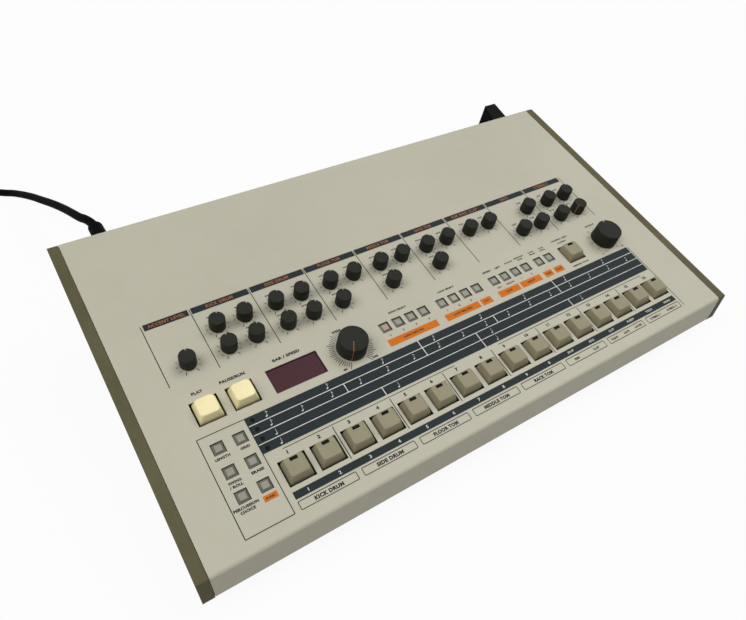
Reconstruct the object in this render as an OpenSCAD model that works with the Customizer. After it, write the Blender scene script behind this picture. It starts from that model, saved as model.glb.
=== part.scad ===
// Programmable drum machine: a folded steel panel and chassis between two
// moulded cheeks, with turning knobs, sprung keys and buttons, a rocker switch
// and a memory cartridge that slides out of the rear. All sizes are in
// millimetres. The origin is on the floor in the middle of the footprint,
// +X is to the player's right, +Y to the rear and +Z up.

/* [Case] */
// Thickness of each cheek
cheek_t = 8; // [6:0.5:9]
// Length of the sloping panel, from front bend to rear edge
panel_l = 274.6; // [270:0.2:290]
// Slope of the panel, in degrees
slope = 13; // [12.5:0.1:14]
// Height of the panel's front edge above the floor
front_edge_z = 43.2; // [42:0.1:50]
// Height of the front face
front_face_h = 25.6; // [22:0.2:27]
// Thickness of the panel and chassis sheet
sheet_t = 1.2; // [0.8:0.1:1.5]
// Outside radius of the front bend
front_bend_r = 2.6; // [2:0.1:4]
// Outside radius of the rear bend
rear_bend_r = 2; // [1.8:0.1:3]
// Depth of the lip that is folded under the front face
under_lip = 10; // [8:0.5:12]
// Height of the lip that is folded down at the rear
rear_lip = 11; // [9:0.5:11]
// Length of the undercut behind the front face
undercut_l = 24; // [18:1:36]
// Seam between the end of a sheet and a cheek
cheek_seam = 0.3; // [0.3:0.1:1]
// How deep the seam is, to the ledge on the cheek
seam_depth = 1; // [0.6:0.1:1.1]
// How far the cheeks reach past the rear bend
cheek_over = 1; // [0.5:0.1:2]
// Wall of the moulded cheeks
cheek_wall = 2.6; // [2:0.2:3.4]
// Height of the chassis flange that a cheek is screwed to
side_flange_h = 16; // [14:1:20]
// Height of the rubber feet
foot_h = 6; // [5:0.5:8]
// Diameter of the rubber feet
foot_d = 18; // [15:0.5:24]
// Distance of the feet from the case's ends
foot_inset_x = 46; // [36:1:70]
// Front bend to the front feet
foot_front = 62; // [50:1:80]
// Rear bend to the rear feet
foot_rear = 34; // [24:1:50]
// Ends of a cheek's straight edge to its outer screws
cheek_screw_inset = 16; // [12:1:24]

/* [Layout of the panel] */
// Left end of the panel to the first instrument section
section_x = 62.3; // [61:0.1:64]
// Last instrument section to the right end of the panel
right_margin = 38.82; // [30:0.02:60]
// Pitch of the sixteen step keys, two to an instrument section
key_pitch = 23.18; // [22:0.02:25]
// First section's edge to the first step key
key_offset = 12.3; // [11:0.1:13]
// Left edge of a section to its first column of knobs
knob_col_a = 12.4; // [11.5:0.1:13]
// Left edge of a section to its second column of knobs
knob_col_b = 33.5; // [32:0.1:34]
// Front bend to the rear row of knobs
knob_row_rear = 156.3; // [155:0.1:160]
// Front bend to the front row of knobs
knob_row_front = 136.5; // [135:0.1:138]
// Left end of the panel to the total accent knob
accent_x = 44.6; // [40:0.1:48]
// Front bend to the row of transport keys, display and large knobs
middle_row = 98.2; // [97:0.1:99]
// Left end of the panel to the start key
start_x = 42.1; // [40:0.1:43]
// Pitch of the start and stop keys
start_pitch = 25.3; // [23:0.1:26]
// Second section's edge to the middle of the display
display_offset = -0.86; // [-3:0.02:1]
// Third section's edge to the tempo knob
tempo_offset = -2.5; // [-4:0.02:2]
// Eighth section's edge to the enter key
enter_offset = -7.42; // [-9:0.02:-5]
// Right edge of the last section to the volume knob
volume_offset = -13.78; // [-16:0.02:-9]
// Front bend to the row of step keys
key_row = 35; // [33:0.1:37]
// Front bend to the row of small buttons
button_row = 102.7; // [101:0.1:104]
// Pitch of the small buttons
button_pitch = 11.9; // [11:0.1:12]
// Fourth section's edge to the first track button
track_offset = -16.18; // [-18:0.02:-14]
// Fifth section's edge to the first pattern button
pattern_offset = -8.64; // [-10:0.02:-6]
// Sixth section's edge to the first editing button
edit_offset = -0.9; // [-3:0.02:1]
// Seventh section's edge to the first measure button
measure_offset = 3.54; // [1:0.02:5]
// Left end of the panel to the left column of mode buttons
mode_x = 37; // [35:0.1:38]
// Pitch of the two columns of mode buttons
mode_pitch_x = 15.2; // [14:0.1:16]
// Front bend to the first row of mode buttons
mode_row = 34.9; // [33:0.1:36]
// Pitch of the three rows of mode buttons
mode_pitch = 17.75; // [16:0.05:18.5]

/* [Knobs] */
// Diameter of a small knob at its foot
knob_d = 12.2; // [11:0.1:13.5]
// Diameter of a small knob at its top
knob_top_d = 11.7; // [10:0.1:12.4]
// Height of a small knob
knob_h = 9.8; // [8:0.1:12]
// Diameter of a large knob at its foot
big_knob_d = 23.2; // [20:0.1:25]
// Diameter of a large knob at its top
big_knob_top_d = 22.3; // [19:0.1:24]
// Height of a large knob
big_knob_h = 12.4; // [10:0.1:15]
// Gap between a knob and the panel
knob_gap = 0.7; // [0.6:0.1:1]
// Diameter of the shafts
shaft_d = 6; // [5:0.1:6.2]
// Clearance round a shaft in its bush
shaft_play = 0.25; // [0.2:0.05:0.4]
// Diameter of a potentiometer's case
pot_d = 16; // [14:0.5:17]
// Height of a potentiometer's case
pot_h = 7; // [6:0.5:8]

/* [Keys] */
// Width of a key window
window_w = 19.4; // [18.6:0.1:20]
// Depth of a key window
window_l = 18.5; // [17.6:0.1:19]
// Clearance round a keycap in its window
key_play = 1.35; // [0.8:0.05:1.6]
// Height of the step and enter keys above the panel
key_h = 5.5; // [4.5:0.1:7]
// Height of the start and stop keys above the panel
start_key_h = 7.6; // [6:0.1:9]
// How much a keycap narrows on each side, from the panel to its top
key_side_lean = 1.5; // [1:0.1:2.2]
// How far the front of a step or enter key leans back
key_front_lean = 2.6; // [1.5:0.1:3]
// How far the rear of a step or enter key leans forward
key_rear_lean = 0.3; // [0:0.1:1.5]
// How far the front and rear of a start or stop key lean inwards
start_lean = 1.2; // [0.8:0.1:2]
// How far a keycap reaches below the panel's face
key_skirt = 3.6; // [3.2:0.1:3.8]
// Wall of a keycap
key_wall = 1.6; // [1.2:0.1:2]
// Width of the stem under a keycap
stem_w = 4; // [3.4:0.1:4.4]
// Clearance round a stem in its switch
stem_play = 0.3; // [0.2:0.05:0.4]
// Travel of a key
key_travel = 3; // [2:0.1:3]
// Width of a key switch
switch_w = 13; // [11:0.5:15]
// Width of the light in a key's top
key_light_w = 5.5; // [4:0.1:7]
// Length of the light in a key's top
key_light_l = 2.4; // [1.6:0.1:3]
// Rear edge of a key's top to its light
key_light_inset = 0.8; // [0.6:0.1:2]

/* [Small buttons and display] */
// Width of a small button's window
button_window = 8.6; // [8.2:0.1:9]
// Clearance round a small button
button_play = 0.35; // [0.3:0.05:1.2]
// Height of a small button above the panel
button_h = 0.3; // [0.2:0.1:1.4]
// Height of a small button's leaning sides
button_bevel = 1.2; // [0.8:0.1:1.8]
// How much a small button's leaning sides narrow it on each side
button_taper = 1.5; // [0.2:0.1:1.6]
// Travel of a small button
button_travel = 0.8; // [0.5:0.1:1]
// Width of a small push switch
tact_w = 7; // [6:0.5:8]
// Width of the display's window
display_w = 40.1; // [38:0.1:41]
// Depth of the display's window
display_l = 19.5; // [18:0.1:20]
// Thickness of the display's filter
filter_t = 2; // [1.5:0.1:2.5]
// Diameter of the holes for the scale lights
scale_hole_d = 3; // [2:0.1:3.2]
// First section's edge to the scale lights
scale_offset = 2.2; // [1.5:0.1:2.8]
// Front bend to the first scale light
scale_row = 56.1; // [55.5:0.1:56.5]
// Pitch of the scale lights
scale_pitch = 7.37; // [7.1:0.01:7.5]

/* [Inside] */
// Depth of the control board below the panel's face
board_depth = 16; // [15.5:0.1:16.5]
// Thickness of the boards
board_t = 1.6; // [1:0.1:2]
// Height of the main board above the chassis floor
main_board_z = 8; // [6:0.5:10]
// Width of the main board
main_board_w = 250; // [200:5:260]
// Depth of the main board
main_board_l = 120; // [90:5:130]
// Left end of the panel to the main board
main_board_x = 176; // [170:1:200]
// Front bend to the main board
main_board_y = 75; // [60:1:90]
// Length of the transformer's iron core
core_l = 62; // [50:1:70]
// Width of the transformer's iron core
core_w = 34; // [28:1:40]
// Height of the transformer's iron core
core_h = 42; // [34:1:44]
// Left end of the panel to the transformer
core_x = 58; // [54:1:66]
// Front bend to the transformer
core_y = 150; // [130:1:170]

/* [Rear] */
// Height of the row of sockets above the floor
socket_z = 48; // [44:0.5:52]
// Bore of a quarter inch socket
jack_bore = 6.5; // [6.4:0.05:6.8]
// Diameter of a socket's threaded barrel
jack_barrel = 9; // [8.6:0.1:9.6]
// Pitch of the sockets
jack_pitch = 22; // [20:0.5:22]
// Middle of the case to the first socket
jack_x = -128; // [-130:0.5:-124]
// Depth of a socket's body
jack_l = 24; // [20:0.5:28]
// Diameter of a five-pole socket
din_d = 16; // [15:0.1:17]
// Pitch of the five-pole sockets
din_pitch = 24; // [23:0.5:25]
// Last quarter inch socket to the first five-pole socket
din_gap = 28; // [24:0.5:30]
// Power switch to the first quarter inch socket
rocker_gap = 34; // [28:0.5:38]
// Width of the rocker
rocker_w = 19; // [16:0.2:21]
// Height of the rocker
rocker_l = 12; // [10:0.2:13]
// Tilt of the rocker each way, in degrees
rocker_tilt = 8; // [5:0.5:9]
// Diameter of the rocker's pivot
pivot_d = 2.4; // [1.6:0.1:3]
// Depth of the rocker's pivot behind the rear wall's face
pivot_depth = 2; // [1.6:0.1:3]
// Left end of the panel to the mains lead
lead_inset = 33; // [30:0.5:36]
// Height of the mains lead's exit above the floor
lead_z = 84; // [80:0.5:86]
// Length of the strain relief outside the case
relief_l = 41.5; // [30:0.5:56]
// Diameter of the strain relief
relief_d = 12.5; // [11:0.5:14]

/* [Cartridge] */
// How far the cartridge stands out of the rear
cartridge_out = 32.4; // [24:0.2:40]
// Thickness of the cartridge's grip at its top
cartridge_top_t = 13.3; // [10:0.1:16]
// Thickness of the cartridge's grip below its slanted shoulders
cartridge_t = 27.5; // [18:0.5:29]
// Height of the slanted shoulders
shoulder_h = 26; // [10:0.5:28]
// Height of the cartridge's grip
cartridge_h = 50; // [46:0.5:52]
// How much lower the grip's top is where it meets the case
grip_drop = 13; // [6:0.5:15]
// Right end of the panel to the cartridge
cartridge_inset = 19.5; // [17:0.5:24]
// Height of the grip's top above the floor
cartridge_top = 101.5; // [98:0.5:102]
// Thickness of the part that goes into the case
tongue_t = 12; // [10:0.5:13]
// Height of the part that goes into the case
tongue_h = 34; // [28:1:36]
// Length of the part that goes into the case
tongue_l = 26; // [20:1:28]
// Clearance round the cartridge in its guide
tongue_play = 0.4; // [0.3:0.05:0.5]

/* [Mains lead] */
// Diameter of the lead
lead_d = 7.5; // [6:0.1:8]
// Width of the plug
plug_w = 26; // [20:0.5:30]
// Height of the plug
plug_h = 17; // [14:0.5:20]
// Length of the plug's body
plug_l = 32; // [26:1:40]

/* [Hidden] */
STEP_PAIRS = [for (i = [0:7]) str("step_keys_", 2 * i + 1, "_", 2 * i + 2)];

// Small knobs: name, section, column, row and the direction of the pointer,
// in degrees clockwise from the rear
KNOBS = [
    ["knob_total_accent", -1, 0, 1, 10],
    ["knob_bass_tune", 0, 0, 0, 20], ["knob_bass_level", 0, 1, 0, 40],
    ["knob_bass_attack", 0, 0, 1, 0], ["knob_bass_decay", 0, 1, 1, 25],
    ["knob_snare_tune", 1, 0, 0, 30], ["knob_snare_level", 1, 1, 0, 45],
    ["knob_snare_tone", 1, 0, 1, 10], ["knob_snare_snappy", 1, 1, 1, 35],
    ["knob_low_tom_tune", 2, 0, 0, 25], ["knob_low_tom_level", 2, 1, 0, 50],
    ["knob_low_tom_decay", 2, 0, 1, 20],
    ["knob_mid_tom_tune", 3, 0, 0, 30], ["knob_mid_tom_level", 3, 1, 0, 45],
    ["knob_mid_tom_decay", 3, 0, 1, 15],
    ["knob_high_tom_tune", 4, 0, 0, 40], ["knob_high_tom_level", 4, 1, 0, 50],
    ["knob_high_tom_decay", 4, 0, 1, 25],
    ["knob_rim_level", 5, 0, 0, 35], ["knob_clap_level", 5, 1, 0, 55],
    ["knob_hat_level", 6, 1, 0, 40],
    ["knob_closed_hat_decay", 6, 0, 1, 20], ["knob_open_hat_decay", 6, 1, 1, 60],
    ["knob_crash_level", 7, 0, 0, 45], ["knob_ride_level", 7, 1, 0, 30],
    ["knob_crash_tune", 7, 0, 1, 50], ["knob_ride_tune", 7, 1, 1, -115],
];
TEMPO_POINTER = -150;
VOLUME_POINTER = 8;

$fn = 48;
eps = 0.01;
section_pitch = 2 * key_pitch;
SECTIONS = 8;
panel_w = section_x + SECTIONS * section_pitch + right_margin;
case_w = panel_w + 2 * cheek_t;
sheet_w = panel_w - 2 * cheek_seam;
front_y = -(panel_l * cos(slope) + cartridge_out) / 2;
rear_y = front_y + panel_l * cos(slope);
rear_z = front_edge_z + panel_l * sin(slope);
face_z = front_edge_z - front_face_h;
floor_z = foot_h + sheet_t;
undercut_y = front_y + under_lip + undercut_l;
wall_y = rear_y - sheet_t;
wall_inner_y = wall_y - sheet_t;
screw_d = 3;
screw_hole_d = 3.6;
screw_head_d = 6.4;
screw_head_h = 2;
screw_l = 8;
foot_ys = [front_y + foot_front, rear_y - foot_rear];
foot_xs = [-1, 1] * (case_w / 2 - foot_inset_x);
lip_screw_xs = spread(10 - panel_w / 2, panel_w / 2 - 46, 5);
lip_screw_z = rear_z - rear_lip / 2 - 1;
under_screw_xs = spread(36 - panel_w / 2, panel_w / 2 - 36, 4);
under_screw_y = front_y + under_lip / 2 + 1;
cheek_screw_ys = spread(undercut_y + cheek_screw_inset, rear_y - cheek_screw_inset, 3);
cheek_screw_z = floor_z + side_flange_h * 0.6;
JACKS = 10;
DINS = 4;
din_x = jack_x + (JACKS - 1) * jack_pitch + din_gap;
rocker_x = jack_x - rocker_gap;
lead_x = lead_inset - panel_w / 2;
cartridge_x = panel_w / 2 - cartridge_inset;

// Route of the mains lead, from the strain relief to the coil, then from the
// coil to the plug
LEAD_OUT = [
    [lead_x, rear_y + relief_l, lead_z], [-203.6, 164, 83.9], [-205.1, 171, 83.2],
    [-207.2, 179, 81.5], [-209.4, 188.6, 78], [-212.4, 207.8, 72],
    [-215.1, 228.1, 65], [-219.5, 254.4, 56], [-224.1, 279.6, 47],
    [-229.9, 307.4, 37], [-235.2, 332.6, 28], [-240.8, 354.7, 20],
    [-245.8, 373.3, 13], [-252, 388.4, 8], [-258.5, 399, 4.6], [-266, 406, 3.8],
    [-277, 411, 3.8], [-288, 418, 3.8], [-299, 426.5, 3.8], [-310, 434, 3.8],
    [-320, 438.6, 3.8], [-331, 440.25, 3.8],
];
LEAD_END = [
    [-373.25, 398, 26.3], [-373.25, 388, 26.2], [-373, 375, 23.5], [-373, 361, 19.3],
    [-373, 347, 14.3], [-373, 333, 10.6], [-373, 319, 8.9], [-373, 306, 8.5],
];
COIL_CENTRE = [-331, 398];
COIL_R = 38.5;
COIL_LAYERS = 4;
PLUG_BACK = [-373, 306, 8.5];

// Places from a to b at equal steps
function spread(a, b, count) = [for (i = [0:count - 1]) a + i * (b - a) / (count - 1)];

// Direction of a vector in a plane, and the direction square to it
function unit(v) = v / norm(v);
function left_of(v) = [-v[1], v[0]];
function turned(v, w) = v[0] * w[1] - v[1] * w[0];
function reversed(list) = [for (i = [len(list) - 1:-1:0]) list[i]];

// An open path moved sideways by d, to its left when d is positive
function offset_path(p, d) = [
    for (i = [0:len(p) - 1])
        let (last = len(p) - 1,
             before = left_of(unit(p[max(i, 1)] - p[max(i, 1) - 1])),
             after = left_of(unit(p[min(i + 1, last)] - p[min(i, last - 1)])))
        i == 0 ? p[i] + d * after
      : i == last ? p[i] + d * before
      : p[i] + d * (before + after) / (1 + before * after)
];

// A closed outline moved inwards by d
function inset_outline(p, d) = [
    for (i = [0:len(p) - 1])
        let (n = len(p),
             before = left_of(unit(p[i] - p[(i + n - 1) % n])),
             after = left_of(unit(p[(i + 1) % n] - p[i])))
        p[i] + d * (before + after) / (1 + before * after)
];

// The corner b of the path a, b, c rounded to radius r
function rounded_corner(a, b, c, r, steps) =
    let (u = unit(a - b), w = unit(c - b), half = acos(u * w) / 2,
         middle = b + unit(u + w) * r / sin(half),
         from = b + u * r / tan(half) - middle,
         to = b + w * r / tan(half) - middle,
         start = atan2(from[1], from[0]),
         sweep = atan2(turned(from, to), from * to))
    [for (s = [0:steps])
        middle + r * [cos(start + sweep * s / steps),
                      sin(start + sweep * s / steps)]];

// An open path with each inner corner rounded to its own radius
function rounded_path(p, radii, steps = 5) = [
    for (i = [0:len(p) - 1])
        each (i == 0 || i == len(p) - 1 ? [p[i]]
            : rounded_corner(p[i - 1], p[i], p[i + 1], radii[i - 1], steps))
];

// Section of a bent sheet. The path is its outer face, and side is 1 when the
// inside lies to the left of the path and -1 when it lies to the right.
function bent_sheet(path, radii, side) =
    let (inner_radii = [for (i = [1:len(path) - 2])
             radii[i - 1] - sheet_t * side
                 * sign(turned(path[i] - path[i - 1], path[i + 1] - path[i]))])
    concat(rounded_path(path, radii),
           reversed(rounded_path(offset_path(path, side * sheet_t), inner_radii)));

// A section in the YZ plane, drawn out along X about the middle
module across(width) {
    translate([-width / 2, 0, 0])
        rotate([90, 0, 90])
            linear_extrude(width)
                children();
}

// Frame of the panel: X from its left end, Y up the slope, Z out of its face
module on_panel(x = 0, v = 0) {
    translate([-panel_w / 2, front_y, front_edge_z])
        rotate([slope, 0, 0])
            translate([x, v, 0])
                children();
}

module centred_block(size, z0) {
    translate([-size[0] / 2, -size[1] / 2, z0])
        cube(size);
}

function section_edge(i) = section_x + i * section_pitch;
function knob_x(k) =
    k[1] < 0 ? accent_x : section_edge(k[1]) + (k[2] == 0 ? knob_col_a : knob_col_b);
function knob_v(k) = k[3] == 0 ? knob_row_rear : knob_row_front;
function step_key_x(i) = section_x + key_offset + i * key_pitch;

// Places of all knobs, keys, buttons and lights on the panel
stop_x = start_x + start_pitch;
display_x = section_edge(1) + display_offset;
tempo_x = section_edge(2) + tempo_offset;
enter_x = section_edge(7) + enter_offset;
volume_x = section_edge(8) + volume_offset;
scale_x = section_x + scale_offset;
KNOB_PLACES = [for (k = KNOBS) [knob_x(k), knob_v(k)]];
BIG_KNOB_PLACES = [[tempo_x, middle_row], [volume_x, middle_row]];
STEP_PLACES = [for (i = [0:2 * SECTIONS - 1]) [step_key_x(i), key_row]];
TRANSPORT_PLACES = [[start_x, middle_row], [stop_x, middle_row],
                    [enter_x, middle_row]];
MODE_PLACES = [for (c = [0:1], r = [0:2])
    [mode_x + c * mode_pitch_x, mode_row + r * mode_pitch]];
// Groups of buttons in a row: first button and number
BUTTON_GROUPS = [
    [section_edge(3) + track_offset, 4], [section_edge(4) + pattern_offset, 4],
    [section_edge(5) + edit_offset, 4], [section_edge(6) + measure_offset, 2],
];
ROW_BUTTON_PLACES = [for (g = BUTTON_GROUPS, i = [0:g[1] - 1])
    [g[0] + i * button_pitch, button_row]];
POST_PLACES = [for (x = [14, panel_w / 2, panel_w - 14],
                    v = [12, (button_row + knob_row_front) / 2, knob_row_rear + 14])
    [x, v]];
post_d = 6;
shaft_hole_d = shaft_d + 3;
bush_d = 8;
bush_top = -sheet_t - 0.8;
pot_floor = 1.4;
shaft_end = pot_floor + 0.6 - board_depth;
switch_floor = 0.6 - board_depth;
switch_top = -key_skirt - key_travel - 0.9;
cap_w = window_w - 2 * key_play;
cap_l = window_l - 2 * key_play;
KEY_LEAN = [key_front_lean, key_rear_lean];
START_LEAN = start_lean * [1, 1];
button_w = button_window - 2 * button_play;
board_margin = 8;
board_past_knobs = 20;
board_end = knob_row_rear + board_past_knobs;

// ---------------------------------------------------------------- case

module top_panel_sheet() {
    path = [[front_y + under_lip, face_z], [front_y, face_z],
            [front_y, front_edge_z], [rear_y, rear_z],
            [rear_y, rear_z - rear_lip]];
    across(sheet_w)
        polygon(bent_sheet(path, [sheet_t + 0.4, front_bend_r, rear_bend_r], -1));
}

module panel_cuts() {
    cut = 3 * sheet_t;
    for (p = concat(KNOB_PLACES, BIG_KNOB_PLACES))
        on_panel(p[0], p[1]) translate([0, 0, -cut]) cylinder(h = 2 * cut, d = shaft_hole_d);
    for (i = [0:3])
        on_panel(scale_x, scale_row + i * scale_pitch)
            translate([0, 0, -cut]) cylinder(h = 2 * cut, d = scale_hole_d);
    for (p = concat(STEP_PLACES, TRANSPORT_PLACES))
        on_panel(p[0], p[1]) centred_block([window_w, window_l, 2 * cut], -cut);
    for (p = concat(MODE_PLACES, ROW_BUTTON_PLACES))
        on_panel(p[0], p[1]) centred_block([button_window, button_window, 2 * cut], -cut);
    on_panel(display_x, middle_row) centred_block([display_w, display_l, 2 * cut], -cut);
}

// Holes for the screws that hold panel and chassis together
module sheet_screw_holes() {
    for (x = lip_screw_xs)
        translate([x, rear_y + sheet_t, lip_screw_z])
            rotate([90, 0, 0])
                cylinder(h = 5 * sheet_t, d = screw_hole_d);
    for (x = under_screw_xs)
        translate([x, under_screw_y, face_z - 3 * sheet_t])
            cylinder(h = 6 * sheet_t, d = screw_hole_d);
}

module top_panel() {
    color([0.82, 0.80, 0.70])
        difference() {
            top_panel_sheet();
            panel_cuts();
            sheet_screw_holes();
        }
}

module chassis_sheet() {
    path = [[front_y + 2 * sheet_t, face_z - sheet_t],
            [front_y + under_lip + 1, face_z - sheet_t],
            [undercut_y, foot_h], [wall_y, foot_h],
            [wall_y, rear_z - rear_bend_r - 2 * sheet_t]];
    across(sheet_w)
        polygon(bent_sheet(path, [2, 4, sheet_t + 0.6], 1));
    for (side = [-1, 1])
        translate([side * (panel_w - sheet_t) / 2 - sheet_t / 2, undercut_y + 2, foot_h])
            cube([sheet_t, wall_inner_y - undercut_y - 4, side_flange_h + sheet_t]);
}

function jack_at(i) = jack_x + i * jack_pitch;
function din_at(i) = din_x + i * din_pitch;

// A cutter through the rear wall, from a section in the XZ plane
module rear_cut(x, z) {
    translate([x, rear_y + 2 * sheet_t, z])
        rotate([90, 0, 0])
            linear_extrude(6 * sheet_t)
                children();
}

rocker_case = [rocker_w + 4, rocker_l + 4];
grip_gap = 0.4;
tongue_z = cartridge_top - (grip_drop + cartridge_h) / 2;
guide_wall = 1.8;

module chassis() {
    color([0.30, 0.30, 0.29])
        difference() {
            chassis_sheet();
            sheet_screw_holes();
            for (i = [0:JACKS - 1])
                rear_cut(jack_at(i), socket_z) circle(d = jack_barrel + 0.4);
            for (i = [0:DINS - 1])
                rear_cut(din_at(i), socket_z) circle(d = din_d + 0.4);
            rear_cut(lead_x, lead_z) circle(d = relief_d - 2);
            rear_cut(rocker_x, socket_z) square(rocker_case, center = true);
            rear_cut(cartridge_x, tongue_z)
                square([tongue_t, tongue_h] + 2 * tongue_play * [1, 1], center = true);
            for (x = foot_xs, y = foot_ys)
                translate([x, y, 0]) cylinder(h = 4 * foot_h, d = screw_hole_d);
            for (y = cheek_screw_ys)
                translate([-case_w, y, cheek_screw_z])
                    rotate([0, 90, 0])
                        cylinder(h = 2 * case_w, d = screw_hole_d);
            for (x = [-1, 1] * bracket_screw_x)
                translate([transformer_x + x, transformer_y, 0])
                    cylinder(h = 4 * foot_h, d = screw_hole_d);
        }
}

// Side view of a cheek: flush with the panel and the front face, and a little
// lower than the chassis floor
cheek_bottom = foot_h - 1.5;
cheek_rear_y = rear_y + cheek_over;
cheek_outline = [
    [front_y, face_z], [undercut_y, cheek_bottom],
    [cheek_rear_y, cheek_bottom], [cheek_rear_y, rear_z + cheek_over * tan(slope)],
    [front_y, front_edge_z],
];

function closed_round(p, radii) = [
    for (i = [0:len(p) - 1])
        let (n = len(p))
        each rounded_corner(p[(i + n - 1) % n], p[i], p[(i + 1) % n], radii[i], 4)
];

// A ledge on the cheek's inner face, that closes the seam below the sheets'
// ends. It stops above the chassis flange.
module seam_ledge() {
    low = floor_z + side_flange_h + 1;
    translate([panel_w / 2 - cheek_seam, 0, 0])
        rotate([90, 0, 90])
            linear_extrude(cheek_seam + eps)
                difference() {
                    polygon(closed_round(inset_outline(cheek_outline, seam_depth),
                                         [0.5, 5, 0.5, 2.5, 0.5]));
                    polygon(inset_outline(cheek_outline, cheek_wall));
                    translate([undercut_y - 1, 0]) square([cheek_rear_y - undercut_y + 2, low]);
                }
}

// One cheek, drawn on the right. It is hollow towards the case, with a post
// round each screw.
module cheek() {
    x0 = panel_w / 2;
    inner = inset_outline(cheek_outline, cheek_wall);
    seam_ledge();
    difference() {
        translate([x0, 0, 0])
            rotate([90, 0, 90])
                linear_extrude(cheek_t)
                    polygon(closed_round(cheek_outline, [1, 6, 1.5, 3.5, 1.2]));
        difference() {
            translate([x0 - eps, 0, 0])
                rotate([90, 0, 90])
                    linear_extrude(cheek_t - cheek_wall + eps)
                        polygon(inner);
            for (y = cheek_screw_ys)
                translate([x0 - 1, y, cheek_screw_z])
                    rotate([0, 90, 0])
                        cylinder(h = cheek_t, d = screw_head_d + 4);
            for (i = [1:4])
                translate([x0 - 1, front_y + 6 + i * (rear_y - front_y) / 5, 0])
                    cube([cheek_t, 1.6, rear_z + 4]);
        }
        for (y = cheek_screw_ys)
            translate([x0 - 1, y, cheek_screw_z])
                rotate([0, 90, 0]) {
                    cylinder(h = cheek_t + 2, d = screw_hole_d);
                    translate([0, 0, 1 + cheek_t - screw_head_h - 0.6])
                        cylinder(h = screw_head_h + 2, d = screw_head_d + 0.8);
                }
    }
}

module left_cheek() {
    color([0.42, 0.39, 0.29]) mirror([1, 0, 0]) cheek();
}

module right_cheek() {
    color([0.42, 0.39, 0.29]) cheek();
}

module rubber_feet() {
    color([0.12, 0.12, 0.12])
        for (x = foot_xs, y = foot_ys)
            translate([x, y, 0])
                difference() {
                    cylinder(h = foot_h, d1 = foot_d - 2, d2 = foot_d);
                    translate([0, 0, -1]) cylinder(h = foot_h + 2, d = screw_hole_d);
                    translate([0, 0, -1]) cylinder(h = foot_h / 2 + 1, d = screw_head_d + 1.6);
                }
}

// A cross-head screw along -Z, with the seat of its head at the origin
module screw(length) {
    difference() {
        union() {
            cylinder(h = screw_head_h, d = screw_head_d);
            translate([0, 0, -length]) cylinder(h = length + eps, d = screw_d);
        }
        for (a = [0, 90])
            rotate([0, 0, a])
                centred_block([screw_head_d * 0.55, 0.9, screw_head_h], screw_head_h - 1);
    }
}

module case_screws() {
    color([0.35, 0.35, 0.36]) {
        for (x = lip_screw_xs)
            translate([x, rear_y, lip_screw_z]) rotate([-90, 0, 0]) screw(screw_l);
        for (x = under_screw_xs)
            translate([x, under_screw_y, face_z - sheet_t]) rotate([180, 0, 0]) screw(screw_l);
        for (x = foot_xs, y = foot_ys)
            translate([x, y, foot_h / 2]) rotate([180, 0, 0]) screw(foot_h / 2 + screw_l);
        for (y = cheek_screw_ys, side = [-1, 1])
            translate([side * (case_w / 2 - screw_head_h - 0.6), y, cheek_screw_z])
                rotate([0, side * 90, 0])
                    screw(cheek_t + screw_l - 4);
    }
}

// ---------------------------------------------------------------- inside

module display_window() {
    color([0.30, 0.10, 0.13])
        on_panel(display_x, middle_row)
            centred_block([display_w + 4, display_l + 4, filter_t], -sheet_t - filter_t);
}

// The control board, with the display's block, hangs on posts under the panel
module control_board() {
    on_panel()
        translate([board_margin, board_margin - 2, -board_depth - board_t])
            cube([panel_w - 2 * board_margin, board_end - board_margin, board_t]);
    on_panel(display_x, middle_row)
        centred_block([display_w - 2, display_l - 1,
                       board_depth - sheet_t - filter_t - 1.2], -board_depth - eps);
    for (p = POST_PLACES)
        on_panel(p[0], p[1])
            translate([0, 0, -board_depth - eps])
                cylinder(h = board_depth - sheet_t + eps, d = post_d);
}

// The main board, with two rows of chips, stands on posts on the chassis floor
CHIP = [26, 14, 4];
CHIP_COLUMNS = 6;

module main_board() {
    translate([main_board_x - panel_w / 2, front_y + main_board_y, floor_z]) {
        translate([0, 0, main_board_z]) cube([main_board_w, main_board_l, board_t]);
        for (x = [post_d, main_board_w - post_d], y = [post_d, main_board_l - post_d])
            translate([x, y, 0]) cylinder(h = main_board_z + eps, d = post_d);
        for (x = spread(CHIP[0], main_board_w - 2 * CHIP[0], CHIP_COLUMNS), y = [0.25, 0.65])
            translate([x, y * main_board_l, main_board_z + board_t - eps]) cube(CHIP);
    }
}

module circuit_boards() {
    color([0.25, 0.38, 0.20]) {
        control_board();
        main_board();
    }
}

module switch_block(width, top, hole) {
    difference() {
        centred_block([width, width, top + board_depth], -board_depth);
        centred_block([hole, hole, board_depth], switch_floor);
    }
}

module key_switches() {
    color([0.2, 0.2, 0.2]) {
        for (p = concat(STEP_PLACES, TRANSPORT_PLACES))
            on_panel(p[0], p[1]) switch_block(switch_w, switch_top, stem_w + 2 * stem_play);
        for (p = concat(MODE_PLACES, ROW_BUTTON_PLACES))
            on_panel(p[0], p[1]) switch_block(tact_w, switch_top, stem_w + 2 * stem_play);
    }
}

module pot_bodies() {
    color([0.55, 0.55, 0.56])
        for (p = concat(KNOB_PLACES, BIG_KNOB_PLACES))
            on_panel(p[0], p[1])
                translate([0, 0, -board_depth])
                    difference() {
                        union() {
                            cylinder(h = pot_h, d = pot_d);
                            cylinder(h = board_depth + bush_top, d = bush_d);
                        }
                        translate([0, 0, pot_floor])
                            cylinder(h = board_depth, r = shaft_d / 2 + shaft_play);
                    }
}

transformer_x = core_x - panel_w / 2;
transformer_y = front_y + core_y;
bracket_t = 1.5;
bracket_w = 14;
bracket_screw_x = core_l / 2 + bracket_w / 2;
winding_out = 9;

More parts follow.
